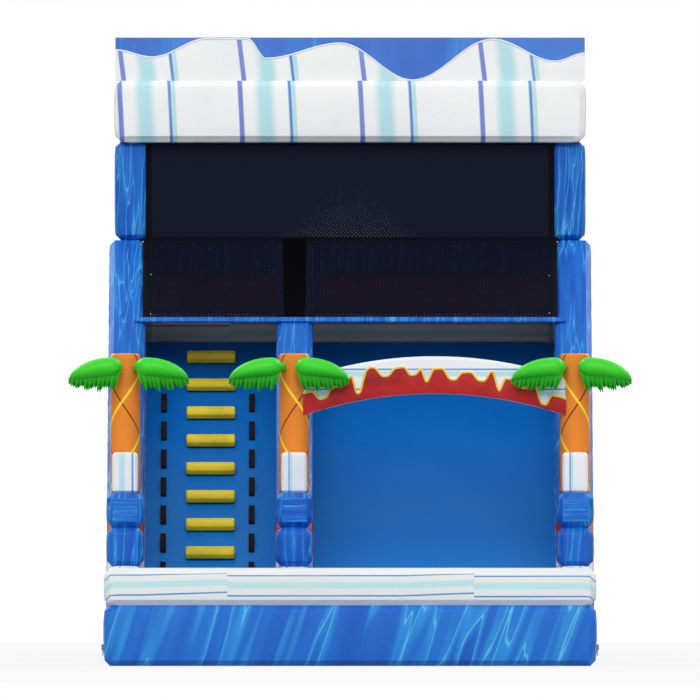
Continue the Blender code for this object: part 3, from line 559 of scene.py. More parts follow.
@dataclass(frozen=True)
class BarkPrint(Finish):
    """Orange trunk cloth with crossing yellow and brown lines that wind round it."""

    hand: float = 1.0

    def dress(self, shader: Shader) -> None:
        """Winds two families of lines round the trunk's own axis.

        Args:
            shader: The material's nodes.
        """
        x, y, z = shader.axes()
        turn = shader.sum("ARCTAN2", shader.sum("MULTIPLY", x, self.hand), shader.sum("MULTIPLY", y, -1.0))
        turns = shader.sum("DIVIDE", turn, 2 * math.pi)
        cloud = shader.noise(shader.places, scale=5.0, detail=3)
        colour = shader.mix(shader.sum("MULTIPLY", cloud, 0.35), ORANGE, ORANGE_DEEP)
        for pitch, slant, half, shade, phase in (
            (1.2, 1.0, 0.024, BARK_BROWN, 0.1325),
            (1.126, -1.0, 0.038, BARK_YELLOW, 0.0093),
        ):
            climb = shader.sum("DIVIDE", z, pitch)
            wound = shader.sum("ADD", shader.sum("MULTIPLY", turns, slant), climb)
            share = shader.sum("FRACT", shader.sum("MULTIPLY", shader.sum("ADD", wound, phase), 2.0))
            line = shader.sum("MINIMUM", shader.sum("MULTIPLY", shader.band(share, 0.5, half), 3.0), 1.0)
            colour = shader.mix(line, colour, shade)
        shader.paint(colour)


@dataclass(frozen=True)
class LeafVinyl(Finish):
    """Green leaf cloth, with a painted highlight on the puffed back and painted shade low on its rim."""

    low: float = 0.94
    height: float = 0.22

    def dress(self, shader: Shader) -> None:
        """Mixes two greens by the height, painted shade low and a painted highlight high, and by soft veins.

        Args:
            shader: The material's nodes.
        """
        _, _, z = shader.axes()
        vein = shader.noise(shader.spread((0.02, 0.2, 0.12)), scale=1.0, detail=2)
        share = shader.sum("DIVIDE", shader.sum("SUBTRACT", z, self.low), self.height)
        share = shader.sum("ADD", share, shader.sum("MULTIPLY", vein, 0.2))
        # Painted light: the green darkens towards the bottom and brightens towards the top, as if lit from
        # above.
        shader.paint(shader.ramp(share, ((0.1, LEAF_PAINTED_SHADE), (0.75, LEAF))))


@dataclass(frozen=True)
class NetCord(Finish):
    """Black knotless net."""

    dye: Colour = NET_BLACK
    fade: Colour = NET_PALE

    def feel(self, shader: Shader) -> None:
        """Leaves the twine dull."""
        shader.roughen(0.85)

    def dress(self, shader: Shader) -> None:
        """Varies the black from strand to strand."""
        strand = shader.noise(shader.places, scale=160.0, detail=1)
        shader.paint(shader.mix(strand, self.dye, self.fade))


@dataclass(frozen=True)
class Webbing(Finish):
    """Woven strap with a ribbed face."""

    dye: Colour = WEB_BLACK
    fade: Colour = WEB_THREAD
    rib: float = 0.0032

    def feel(self, shader: Shader) -> None:
        """Ribs the weave across both directions.

        Args:
            shader: The material's nodes.
        """
        shader.roughen(0.7)
        x, y, z = shader.axes()
        ribs = [shader.sum("SINE", shader.sum("MULTIPLY", way, 2 * math.pi / self.rib))
                for way in (shader.sum("ADD", y, z), x)]
        shader.bump(shader.sum("ADD", ribs[0], ribs[1]), depth=0.0004, strength=0.6)

    def dress(self, shader: Shader) -> None:
        """Wears the dye in patches."""
        worn = shader.noise(shader.places, scale=11.0, detail=4)
        shader.paint(shader.mix(shader.sum("MULTIPLY", worn, 0.5), self.dye, self.fade))


@dataclass(frozen=True)
class Metal(Finish):
    """Metal with brushed or cast marks."""

    tone: Colour = ink(176, 178, 182)
    dull: Colour = ink(140, 142, 148)
    marks: float = 60.0

    def feel(self, shader: Shader) -> None:
        """Roughens the metal by its marks.

        Args:
            shader: The material's nodes.
        """
        shader.surface.inputs["Metallic"].default_value = 1.0
        marks = shader.noise(shader.places, scale=self.marks, detail=4)
        shader.roughen(shader.sum("ADD", shader.sum("MULTIPLY", marks, 0.3), self.roughness - 0.15))
        shader.bump(marks, depth=0.0006)

    def dress(self, shader: Shader) -> None:
        """Spots the tone with duller patches."""
        spots = shader.noise(shader.places, scale=self.marks * 0.4, detail=3)
        shader.paint(shader.mix(spots, self.tone, self.dull))


@dataclass(frozen=True)
class MouldedPlastic(Finish):
    """Moulded plastic with a fine spark-eroded grain and rubbed patches."""

    tone: Colour = ink(40, 41, 44)
    rubbed: Colour = ink(70, 71, 74)

    def feel(self, shader: Shader) -> None:
        """Grains the plastic finely.

        Args:
            shader: The material's nodes.
        """
        patch = shader.noise(shader.places, scale=18.0, detail=3)
        shader.roughen(shader.sum("ADD", shader.sum("MULTIPLY", patch, 0.2), self.roughness - 0.1))
        shader.bump(shader.noise(shader.places, scale=900.0, detail=2), depth=0.0003)

    def dress(self, shader: Shader) -> None:
        """Rubs the tone pale in patches.

        Args:
            shader: The material's nodes.
        """
        rub = shader.noise(shader.places, scale=14.0, detail=4)
        share = shader.sum("MULTIPLY", shader.band(rub, 0.7, 0.12), 0.6)
        shader.paint(shader.mix(share, self.tone, self.rubbed))


CANOPY_STRIPES = (
    Stripe(0.010, 0.050, LINE_PURPLE), Stripe(0.165, 0.300, SKY, 0.03),
    Stripe(0.428, 0.455, LINE_BLUE), Stripe(0.458, 0.490, SKY),
)
RIM_STRIPES = (
    Stripe(0.214, 0.250, LINE_BLUE), Stripe(0.400, 0.550, SKY, 0.03),
    Stripe(0.704, 0.740, LINE_BLUE),
)
RIM_REPEAT = 0.36
ARCH_STRIPES = (Stripe(0.28, 0.54, SKY, 0.05), Stripe(0.60, 0.68, LINE_BLUE, 0.01))
LEFT_BLOCK_STRIPES = (Stripe(0.25, 0.49, SKY, 0.03), Stripe(0.756, 0.84, LINE_BLUE, 0.01))
OTHER_BLOCK_STRIPES = (Stripe(0.27, 0.33, LINE_BLUE, 0.01), Stripe(0.345, 0.42, SKY, 0.01))

UPRIGHT_BLUE = MarbledVinyl("blue_vinyl_upright", "marbled_blue_vinyl", width=0.07, contrast=0.7,
                            deep=ink(18, 84, 184), plain=ink(22, 105, 200))
LEANING_BLUE = MarbledVinyl("blue_vinyl_leaning", "marbled_blue_vinyl", run=Print.LEANING, width=0.22,
                            thread_half=0.007, bend=0.15)
SIDE_BLUE = MarbledVinyl("blue_vinyl_sideways", "marbled_blue_vinyl", run=Print.SIDEWAYS, width=0.22,
                         thread_half=0.007, bend=0.15)
LEVEL_BLUE = MarbledVinyl("blue_vinyl_level", "marbled_blue_vinyl", run=Print.LEVEL, width=0.09,
                          contrast=0.7)
BOARD_BLUE = MarbledVinyl("blue_vinyl_board", "marbled_blue_vinyl", deep=ink(64, 112, 198),
                          plain=ink(74, 124, 208), width=0.3, contrast=0.3)
LANE_BLUE = LaneVinyl("lane_vinyl", "lane_vinyl", roughness=0.36, gloss=0.12)
RED_CELL = PlainVinyl("red_vinyl", "red_vinyl")
RUNG_VINYL = PlainVinyl("yellow_vinyl", "yellow_vinyl", dye=RUNG_YELLOW, deep=ink(178, 156, 30))
LAVA_VINYL = PlainVinyl("lava_vinyl", "red_vinyl", dye=LAVA, patch=0.8)
LAVA_EDGE = PlainVinyl("lava_edge_vinyl", "yellow_vinyl", dye=LAVA_RIM, deep=ink(236, 180, 60))
PALE_EDGE = PlainVinyl("pale_edge_vinyl", "striped_white_vinyl", dye=WHITE, deep=ink(214, 222, 228))
CANOPY_FRONT = StripedVinyl("white_vinyl_canopy_front", "striped_white_vinyl", across=(1.0, 0.05, 0.05),
                            origin=-1.729, stripes=CANOPY_STRIPES, ground=CANOPY_WHITE)
CANOPY_SIDE = StripedVinyl("white_vinyl_canopy_side", "striped_white_vinyl", across=(0.0, 1.0, 0.05),
                           stripes=CANOPY_STRIPES, ground=CANOPY_WHITE)
WAVE_WHITE = StripedVinyl("white_vinyl_wave", "striped_white_vinyl", across=(1.0, 0.0, 0.12),
                          origin=-1.421, stripes=CANOPY_STRIPES, ground=CANOPY_WHITE)
ARCH_WHITE = StripedVinyl("white_vinyl_arch", "striped_white_vinyl", across=(0.0, 0.0, 1.0),
                          origin=2.454, repeat=0.175, stripes=ARCH_STRIPES)
BACK_WHITE = StripedVinyl("white_vinyl_back", "striped_white_vinyl", across=(0.0, 0.0, 1.0), origin=2.691,
                          repeat=RIM_REPEAT, stripes=RIM_STRIPES, breaks=((-1.07, -0.02),))
LEAF_GREEN = LeafVinyl("green_vinyl", "green_vinyl", roughness=0.38)
NET_TWINE = NetCord("net_twine", "black_net", gloss=0.08)
# Painted shade: the net over the lanes gets a darker copy of the net twine, standing in for the shade that it
# lies in.
SHADED_LANE_TWINE = NetCord("shaded_lane_net_twine", "black_net", gloss=0.04, dye=ink(11, 13, 26), fade=ink(20, 22, 38))
BLACK_STRAP = Webbing("black_strap", "black_webbing", gloss=0.1)
NET_TAPE = Webbing("net_tape", "black_webbing", gloss=0.05, dye=ink(8, 10, 15), fade=ink(18, 20, 27))
PAD_TAPE = Webbing("pad_tape", "black_webbing", gloss=0.03, dye=ink(2, 2, 3), fade=ink(7, 7, 9))
STRAP_STITCH = Webbing("strap_stitch", "black_webbing", gloss=0.1, dye=ink(86, 78, 66),
                       fade=ink(120, 108, 88), rib=0.002)
STEEL = Metal("zinc_steel", "zinc_steel", roughness=0.35)
ALUMINIUM = Metal("cast_aluminium", "cast_aluminium", roughness=0.5, tone=ink(150, 152, 156),
                  dull=ink(118, 120, 126), marks=140.0)
GRAPHITE = MouldedPlastic("graphite_plastic", "graphite_plastic", roughness=0.5)
CASING = MouldedPlastic("casing_plastic", "casing_plastic", roughness=0.42, tone=ink(176, 56, 38),
                        rubbed=ink(196, 92, 70))


@dataclass(frozen=True)
class Yard:
    """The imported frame, with the search tree of every solid in it."""

    nodes: dict[str, Piece]
    solids: BVHTree
    rings: tuple[Vector, ...]
    swing: float = 0.2
    fade: float = 0.15

    @classmethod
    def from_frame(cls, frame: dict) -> "Yard":
        """Gathers the solids of the frame.


        Returns:
            The yard that every sub-assembly reads.
        """
        points, faces = [], []
        for node in frame["nodes"].values():
            first = len(points)
            points += [vertex.co.copy() for vertex in node.data.vertices]
            faces += [[first + index for index in polygon.vertices] for polygon in node.data.polygons]
        rings = [sum(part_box(f"{side}_{end}_ring"), Vector()) / 2 for side in SIDES for end in ENDS]
        return cls(frame["nodes"], BVHTree.FromPolygons(points, faces), tuple(rings))

    def room(self, place: Vector, normal: Vector, reach: float) -> float:
        """Measures the free air before a skin.

        Args:
            place: A point on the skin.
            normal: The way out of it.
            reach: How far to look.

        Returns:
            The free distance, at most the reach.
        """
        start = 0.002
        _, _, _, distance = self.solids.ray_cast(place + normal * start, normal, reach)
        return reach if distance is None else distance

    def calm(self, place: Vector) -> float:
        """Gives 0 beside an anchor ring, where the skin stays flat, rising to 1 away from it."""
        nearest = min((place - ring).length for ring in self.rings)
        return min(max((nearest - self.swing) / self.fade, 0.0), 1.0)


def lane_pitch() -> float:
    """Gives the lanes' rise for each metre of run."""
    low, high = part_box("climb_ramp")
    return (high.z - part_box("pool_floor")[1].z) / (high.y - low.y)


def dressed(name: str, mesh: bpy.types.Mesh, finishes: Sequence[Finish], *nodes: str,
            place: Sequence[float] = (0, 0, 0)) -> Piece:
    """Puts a mesh into the scene with its finishes, body and the nodes that it stands for.

    Args:
        name: The piece's name.
        mesh: Its mesh.
        finishes: Its finishes, in the order of its faces' material numbers.
        nodes: The CAD nodes that it replaces.
        place: Where its origin goes.

    Returns:
        The new piece.
    """
    piece = bpy.data.objects.new(name, mesh)
    bpy.context.scene.collection.objects.link(piece)
    for finish in finishes:
        mesh.materials.append(finish.material())
    piece.location = place
    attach(piece, BODY)
    if nodes:
        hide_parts(*nodes)
    return piece


def sewn(name: str, build: Geometry, finishes: Sequence[Finish], *nodes: str, smooth_angle: float = 40.0,
         place: Sequence[float] = (0, 0, 0)) -> Piece:
    """Turns built geometry into a piece that is shaded smooth up to an angle.

    Args:
        name: The piece's name.
        build: The geometry, freed afterwards.
        finishes: Its finishes, in the order of its faces' material numbers.
        nodes: The CAD nodes that it replaces.
        smooth_angle: The angle in degrees past which an edge stays sharp.
        place: Where its origin goes.

    Returns:
        The new piece.
    """
    bmesh.ops.recalc_face_normals(build, faces=build.faces[:])
    mesh = bpy.data.meshes.new(f"{name}_skin")
    build.to_mesh(mesh)
    build.free()
    mesh.shade_smooth()
    mesh.set_sharp_from_angle(angle=math.radians(smooth_angle))
    return dressed(name, mesh, finishes, *nodes, place=place)


def circle(corners: int) -> list[tuple[float, float]]:
    """Gives the cosine and sine of a round of even turns."""
    turns = [2 * math.pi * corner / corners for corner in range(corners)]
    return [(math.cos(turn), math.sin(turn)) for turn in turns]


def extents(build: Geometry) -> list[tuple[float, float]]:
    """Gives the lowest and highest place of some geometry along each axis."""
    return [(min(row), max(row)) for row in zip(*(vertex.co for vertex in build.verts))]


def loft(build: Geometry, rings: Sequence[Sequence[Point]], closed: bool = False, material: int = 0) -> None:
    """Skins a row of rings.

    Args:
        build: The geometry that takes the skin.
        rings: The rings' points, each ring with as many.
        closed: Whether the last ring meets the first, and not a cap at each end.
        material: The faces' material number.
    """
    rows = [[build.verts.new(point) for point in ring] for ring in rings]
    faces = []
    for low, high in zip(rows, rows[1:] + rows[:1] if closed else rows[1:]):
        for index in range(len(low)):
            after = (index + 1) % len(low)
            faces.append(build.faces.new((low[index], low[after], high[after], high[index])))
    if not closed:
        faces += [build.faces.new(rows[0][::-1]), build.faces.new(rows[-1])]
    for face in faces:
        face.material_index = material


def relief(build: Geometry, columns: Sequence[Sequence[Point]], back: float) -> None:
    """Skins a row of upright columns and carries the skin back to an upright plane.

    Args:
        build: The geometry that takes the skin.
        columns: The columns' points from the foot up, each column with as many.
        back: The plane's Y.
    """
    grid = [[build.verts.new(point) for point in column] for column in columns]
    for before, after in zip(grid, grid[1:]):
        for row in range(len(before) - 1):
            build.faces.new((before[row], after[row], after[row + 1], before[row + 1]))
    for item in bmesh.ops.extrude_face_region(build, geom=build.faces[:])["geom"]:
        if isinstance(item, bmesh.types.BMVert):
            item.co.y = back


def tube_along(build: Geometry, route: Sequence[Vector], across: float, thick: float, side: Vector,
               material: int = 0, corners: int = 8) -> None:
    """Runs a flat or round strand along a route.

    Args:
        build: The geometry that takes the strand.
        route: The strand's points.
        across: Half its width, along the side.
        thick: Half its thickness.
        side: The direction of its width.
        material: The faces' material number.
        corners: How many points its section has.
    """
    rings = []
    for index, point in enumerate(route):
        before, after = route[max(index - 1, 0)], route[min(index + 1, len(route) - 1)]
        ahead = (after - before).normalized()
        wide = (side - ahead * side.dot(ahead)).normalized()
        up = ahead.cross(wide)
        rings.append([tuple(point + wide * across * cosine + up * thick * sine)
                      for cosine, sine in circle(corners)])
    loft(build, rings, material=material)


@dataclass
class AirCell:
    """One air cell: the solid's form with rolled edges and a crowned skin."""

    node: str
    finish: Finish
    skins: dict[Facing, Finish] = field(default_factory=dict)
    roll: float = 0.007
    crown: float = 0.010
    reach: float = 0.14
    grid: float = 0.12
    baffled: Facing | None = None
    baffle_strips: int = 4
    shortest_roll: float = 0.07
    sharp: float = math.radians(18)
    tip: Finish | None = None
    tip_depth: float = 0.07
    calm: tuple[Facing, ...] = ()

    def build(self, yard: Yard) -> Piece:
        """Makes the cell in the place of its node.

        Args:
            yard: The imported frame.

        Returns:
            The cell.
        """
        skin = bmesh.new()
        skin.from_mesh(yard.nodes[self.node].data)
        bmesh.ops.remove_doubles(skin, verts=skin.verts[:], dist=WELD)
        bmesh.ops.dissolve_limit(skin, angle_limit=math.radians(1), verts=skin.verts[:], edges=skin.edges[:])
        seams = self.seams(skin)
        self.roll_edges(skin)
        self.slice(skin)
        finishes = self.paint(skin)
        self.puff(skin, seams, yard)
        piece = sewn(f"{self.node}_cell", skin, finishes, self.node)
        piece.modifiers.new("flats", "WEIGHTED_NORMAL").keep_sharp = True
        LOG.info("%s is blown up with %d faces", self.node, len(piece.data.polygons))
        return piece

    def welds(self, skin: Geometry) -> list[bmesh.types.BMEdge]:
        """Lists the welded edges, where two panels of cloth meet at an angle."""
        return [edge for edge in skin.edges
                if len(edge.link_faces) == 2 and edge.calc_face_angle(0.0) > self.sharp]

    def seams(self, skin: Geometry) -> KDTree:
        """Finds points along the welded edges.

        Args:
            skin: The cell before its edges are rolled.

        Returns:
            A search tree of the points.
        """
        step = 0.03
        points = []
        for edge in self.welds(skin):
            start, end = edge.verts[0].co, edge.verts[1].co
            count = max(1, math.ceil((end - start).length / step))
            points += [start.lerp(end, index / count) for index in range(count + 1)]
        tree = KDTree(len(points))
        for index, point in enumerate(points):
            tree.insert(point, index)
        tree.balance()
        return tree

    def roll_edges(self, skin: Geometry) -> None:
        """Rounds the welded edges, apart from short ones.

        Args:
            skin: The cell.
        """
        edges = [edge for edge in self.welds(skin) if edge.calc_length() > self.shortest_roll]
        bmesh.ops.bevel(skin, geom=edges, offset=self.roll, offset_type="OFFSET", segments=3,
                        profile=0.5, affect="EDGES", clamp_overlap=True)

    def slice(self, skin: Geometry) -> None:
        """Cuts the flats into a grid that can crown.

        Args:
            skin: The cell.
        """
        for axis, (low, high) in enumerate(extents(skin)):
            strips = self.strips(high - low)
            for index in range(1, strips):
                place, normal = Vector(), Vector()
                place[axis] = low + (high - low) * index / strips
                normal[axis] = 1
                bmesh.ops.bisect_plane(skin, geom=skin.verts[:] + skin.edges[:] + skin.faces[:],
                                       dist=0.00001, plane_co=place, plane_no=normal)

    def strips(self, length: float) -> int:
        """Counts the grid's strips over a length."""
        return max(1, round(length / self.grid))

    def paint(self, skin: Geometry) -> list[Finish]:
        """Gives each face the finish of its facing.

        Args:
            skin: The cell.

        Returns:
            The finishes in the order of their numbers.
        """
        finishes = [self.finish]
        front, _ = extents(skin)[1]
        for face in skin.faces:
            finish = self.skins.get(facing_of(face.normal), self.finish)
            if self.tip and face.calc_center_median().y < front + self.tip_depth:
                finish = self.tip
            if finish not in finishes:
                finishes.append(finish)
            face.material_index = finishes.index(finish)
        return finishes

    def puff(self, skin: Geometry, seams: KDTree, yard: Yard) -> None:
        """Crowns the skin between its seams wherever it has air before it.

        Args:
            skin: The cell.
            seams: The welded edges' points.
            yard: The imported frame.
        """
        skin.normal_update()
        spans = extents(skin)
        free = 0.05
        moves = []
        for vertex in skin.verts:
            _, _, away = seams.find(vertex.co)
            share = min(min(away, self.to_baffle(vertex, spans)) / self.reach, 1.0)
            height = self.crown * math.sin(math.pi / 2 * share) ** 0.8 * yard.calm(vertex.co)
            room = yard.room(vertex.co, vertex.normal, free)
            still = room < free or facing_of(vertex.normal) in self.calm
            moves.append((vertex, vertex.normal * (0.0 if still else height)))
        for vertex, move in moves:
            vertex.co += move
            vertex.co.z = max(vertex.co.z, 0.0)

    def to_baffle(self, vertex: bmesh.types.BMVert, spans: Sequence[tuple[float, float]]) -> float:
        """Measures the way to the nearest inner baffle's weld.

        Args:
            vertex: A point of the skin.
            spans: The cell's lowest and highest places.

        Returns:
            The distance, or a large one where the face has no baffles.
        """
        if self.baffled is None or facing_of(vertex.normal) is not self.baffled:
            return math.inf
        axis = 1 if self.baffled is Facing.SIDE else 0
        low, high = spans[axis]
        pitch = (high - low) / self.strips(high - low) * self.baffle_strips
        place = (vertex.co[axis] - low) % pitch
        return min(place, pitch - place)


@dataclass
class Structure:
    """The pool, the ramps, the walls, the posts and the canopy: every plain air cell."""

    slope_y: float
    pitch: float
    rise: float

    @classmethod
    def from_frame(cls) -> "Structure":
        """Reads the slope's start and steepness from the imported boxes."""
        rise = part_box("left_blue_tube")[1].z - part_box("left_palm")[0].z
        return cls(slope_y=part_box("climb_ramp")[1].y - rise / lane_pitch(), pitch=lane_pitch(), rise=rise)

    def tube_stripes(self) -> StripedVinyl:
        """Gives the white tubes' print, which follows the slope."""
        low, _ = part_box("left_white_tube")
        return StripedVinyl("white_vinyl_tube", "striped_white_vinyl", across=(0.0, 0.0, 1.0), folded=-1.0,
                            origin=low.z + low.x, repeat=RIM_REPEAT, stripes=RIM_STRIPES,
                            slope=(self.slope_y, self.pitch, self.rise))

    def rim_stripes(self) -> StripedVinyl:
        """Gives the pool rim's print, which jumps at two welds and tilts before them."""
        low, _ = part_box("front_rim")
        return StripedVinyl("white_vinyl_rim", "striped_white_vinyl", across=(0.0, 1.0, 1.0),
                            origin=low.y + low.z, repeat=RIM_REPEAT, stripes=RIM_STRIPES, ground=RIM_WHITE,
                            breaks=((-1.063, 0.029), (1.072, 0.028)),
                            tilts=((-1.81, -1.063, 0.023), (0.45, 1.072, 0.022)))

    def block_stripes(self, side: str) -> StripedVinyl:
        """Gives a block's print, measured over its own width.

        Args:
            side: The block's side of the slide.

        Returns:
            The print.
        """
        low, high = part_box(f"{side}_block")
        stripes = LEFT_BLOCK_STRIPES if side == "left" else OTHER_BLOCK_STRIPES
        return StripedVinyl(f"white_vinyl_{side}_block", "striped_white_vinyl", origin=low.x,
                            repeat=high.x - low.x, stripes=stripes)

    def cells(self) -> list[AirCell]:
        """Lists every plain air cell with its finishes.

        Returns:
            The cells.
        """
        walls = {Facing.FRONT: LEVEL_BLUE, Facing.SIDE: SIDE_BLUE}
        big = {Facing.SIDE: SIDE_BLUE, Facing.FRONT: LEANING_BLUE, Facing.BACK: LEANING_BLUE}
        lanes = {Facing.SLOPE: LANE_BLUE, Facing.TOP: LANE_BLUE}
        roof = {Facing.SIDE: CANOPY_SIDE, Facing.BACK: CANOPY_FRONT}
        white = self.tube_stripes()
        cells = [
            AirCell("front_wall", LEANING_BLUE, grid=0.15),
            AirCell("front_rim", self.rim_stripes()),
            AirCell("pool_floor", LANE_BLUE, lanes, grid=0.2, crown=0.02),
            AirCell("climb_ramp", UPRIGHT_BLUE, lanes, grid=0.16, crown=0.008),
            AirCell("slide_ramp", UPRIGHT_BLUE, lanes, grid=0.16, crown=0.008),
            AirCell("platform", UPRIGHT_BLUE, {**big, Facing.TOP: LANE_BLUE}, crown=0.016,
                    baffled=Facing.BACK),
            AirCell("canopy", CANOPY_FRONT, roof, crown=0.014),
            AirCell("net_beam", UPRIGHT_BLUE, crown=0.003, roll=0.010, reach=0.02),
            AirCell("back_white_tube", BACK_WHITE),
            AirCell("back_red_tube", RED_CELL),
            AirCell("back_blue_tube", UPRIGHT_BLUE),
        ]
        for side in SIDES:
            cells.append(AirCell(f"{side}_side_wall", UPRIGHT_BLUE, big, crown=0.016, baffled=Facing.SIDE))
            for end in ENDS:
                cells.append(AirCell(f"{end}_{side}_post", UPRIGHT_BLUE, {Facing.SIDE: SIDE_BLUE}))
        for side in ("left", "centre", "right"):
            cells += [
                AirCell(f"{side}_white_tube", white),
                AirCell(f"{side}_red_tube", RED_CELL, tip=UPRIGHT_BLUE),
                AirCell(f"{side}_blue_tube", UPRIGHT_BLUE, walls, calm=(Facing.SLOPE, Facing.TOP)),
                AirCell(f"{side}_block", self.block_stripes(side), roll=0.004, crown=0.005, grid=0.05,
                        reach=0.06, shortest_roll=0.01),
            ]
        return cells

    def build(self, yard: Yard) -> None:
        """Blows up every cell."""
        for cell in self.cells():
            cell.build(yard)


@dataclass
class WaveBoard:
    """The board on the canopy: a plain backing, and a white wave with a piped edge before it."""

    turns: tuple[tuple[float, float], ...] = (
        (0.0, 0.72), (0.078, 0.55), (0.194, 0.985), (0.281, 0.985), (0.321, 0.52),
        (0.479, 0.88), (0.633, 0.0), (0.804, 0.975), (0.937, 0.45), (1.0, 0.64),
    )
    trough: float = 0.012
    top: float = 0.383
    steps: int = 14
    rows: int = 5
    swell: float = 0.0072
    piping: float = 0.008

    def edge(self) -> list[tuple[float, float]]:
        """Eases the wave between its turning points, from left to right.

        Returns:
            Pairs of X and Z along the wave's upper edge.
        """
        low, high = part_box("wave_crest")
        points = []
        for (x0, z0), (x1, z1) in zip(self.turns, self.turns[1:]):
            for step in range(self.steps):
                share = step / self.steps
                ease = (1 - math.cos(math.pi * share)) / 2
                points.append((x0 + (x1 - x0) * share, z0 + (z1 - z0) * ease))
        points.append(self.turns[-1])
        width, span = high.x - low.x, self.top - self.trough
        return [(low.x + width * x, low.z + self.trough + span * z) for x, z in points]

    def crest(self) -> Piece:
        """Makes the white wave as one soft board.

        Returns:
            The wave.
        """
        low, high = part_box("wave_crest")
        least, rim = 0.004, 0.06
        columns = []
        for x, top in self.edge():
            column = []
            for row in range(self.rows + 1):
                share = row / self.rows
                full = math.sin(math.pi * min(max(share, rim), 1 - rim)) ** 0.5
                column.append((x, low.y + self.swell * (1 - full), low.z + max(top - low.z, least) * share))
            columns.append(column)
        build = bmesh.new()
        relief(build, columns, high.y)
        return sewn("wave_board", build, [WAVE_WHITE], "wave_crest")

    def edging(self) -> Piece:
        """Makes the white piping along the wave's edge.

        Returns:
            The piping.
        """
        low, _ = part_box("wave_crest")
        proud, thick = 0.004, 0.006
        route = [Vector((x, low.y + proud, z - self.piping)) for x, z in self.edge()]
        build = bmesh.new()
        tube_along(build, route, self.piping, thick, Vector((0, 0, 1)))
        return sewn("wave_piping", build, [PALE_EDGE], smooth_angle=60)

    def build(self, yard: Yard) -> None:
        """Builds the backing, the wave and its piping.

        Args:
            yard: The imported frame.
        """
        AirCell("wave_backing", BOARD_BLUE, crown=0.006, shortest_roll=0.05).build(yard)
        self.crest()
        self.edging()
        LOG.info("the wave board stands on the canopy")


@dataclass
class NetPanel:
    """A flat net of small diamond holes inside a strap hem."""

    name: str
    node: str
    corner: Vector
    along: Vector
    up: Vector
    held_by: tuple[str, ...]
    pitch: float = 0.017
    hole: float = 0.0042
    hem: float = 0.03
    tape: float = 0.0025
    tie: float = 0.06
    sag: float = 0.006
    twine: Finish = NET_TWINE

    def build(self) -> Piece:
        """Weaves the net and sews its hem.

        Returns:
            The net.
        """
        width, height = self.along.length, self.up.length
        net = dressed(self.name, self.weave(width, height), [self.twine], self.node)
        border = self.sew_hem(width, height)
        LOG.info("%s is woven with %d strands", self.name, len(net.data.polygons))
        return net

    def weave(self, width: float, height: float) -> bpy.types.Mesh:
        """Weaves the net: a diamond hole at every other crossing of a grid, and cloth between.

        Args:
            width: The net's width.
            height: The net's height.

        Returns:
            The net's mesh.
        """
        across, rise = self.along.normalized(), self.up.normalized()
        out = across.cross(rise)
        columns, rows = int(width / self.pitch), int(height / self.pitch)
        shift_u = (width - columns * self.pitch) / 2
        shift_v = (height - rows * self.pitch) / 2
        offsets = ((self.hole, 0.0), (0.0, self.hole), (-self.hole, 0.0), (0.0, -self.hole))
        points, corners = [], {}
        for column in range(columns + 1):
            for row in range(column % 2, rows + 1, 2):
                u, v = shift_u + column * self.pitch, shift_v + row * self.pitch
                corners[column, row] = len(points)
                bulge = self.sag * math.sin(math.pi * u / width) * math.sin(math.pi * v / height)
                for du, dv in offsets:
                    points.append(self.corner + across * (u + du) + rise * (v + dv) + out * bulge)
        right, top, left, low = range(4)
        faces = []
        for (column, row), first in corners.items():
            above = corners.get((column + 1, row + 1))
            below = corners.get((column + 1, row - 1))
            beyond = corners.get((column + 2, row))
            if above is not None:
                faces.append((first + right, above + low, above + left, first + top))
            if below is not None:
                faces.append((first + low, below + left, below + top, first + right))
            if above is not None and below is not None and beyond is not None:
                faces.append((first + right, below + top, beyond + left, above + low))
        used = sorted({index for face in faces for index in face})
        order = {index: place for place, index in enumerate(used)}
        mesh = bpy.data.meshes.new(f"{self.name}_weave")
        mesh.from_pydata([points[index] for index in used], [],
                         [[order[index] for index in face] for face in faces])
        mesh.update()
        return mesh

    def sew_hem(self, width: float, height: float) -> Piece:
        """Makes the strap round the net's edge, whose level lengths run on to the posts.

        Args:
            width: The net's width.
            height: The net's height.

        Returns:
            The hem.
        """
        across, rise = self.along.normalized(), self.up.normalized()
        inset, count = self.hem / 2, 24
        build = bmesh.new()
        lengths = [((place, 0), (place, height), across, self.hem) for place in (0, width)]
        lengths += [((-self.tie, place), (width + self.tie, place), rise, inset)
                    for place in (inset, height - inset)]
        for start, end, side, half in lengths:
            steps = [Vector(start).lerp(Vector(end), index / count) for index in range(count + 1)]
            route = [self.corner + across * step.x + rise * step.y for step in steps]
            tube_along(build, route, half, self.tape, side)
        return sewn(f"{self.name}_hem", build, [NET_TAPE])


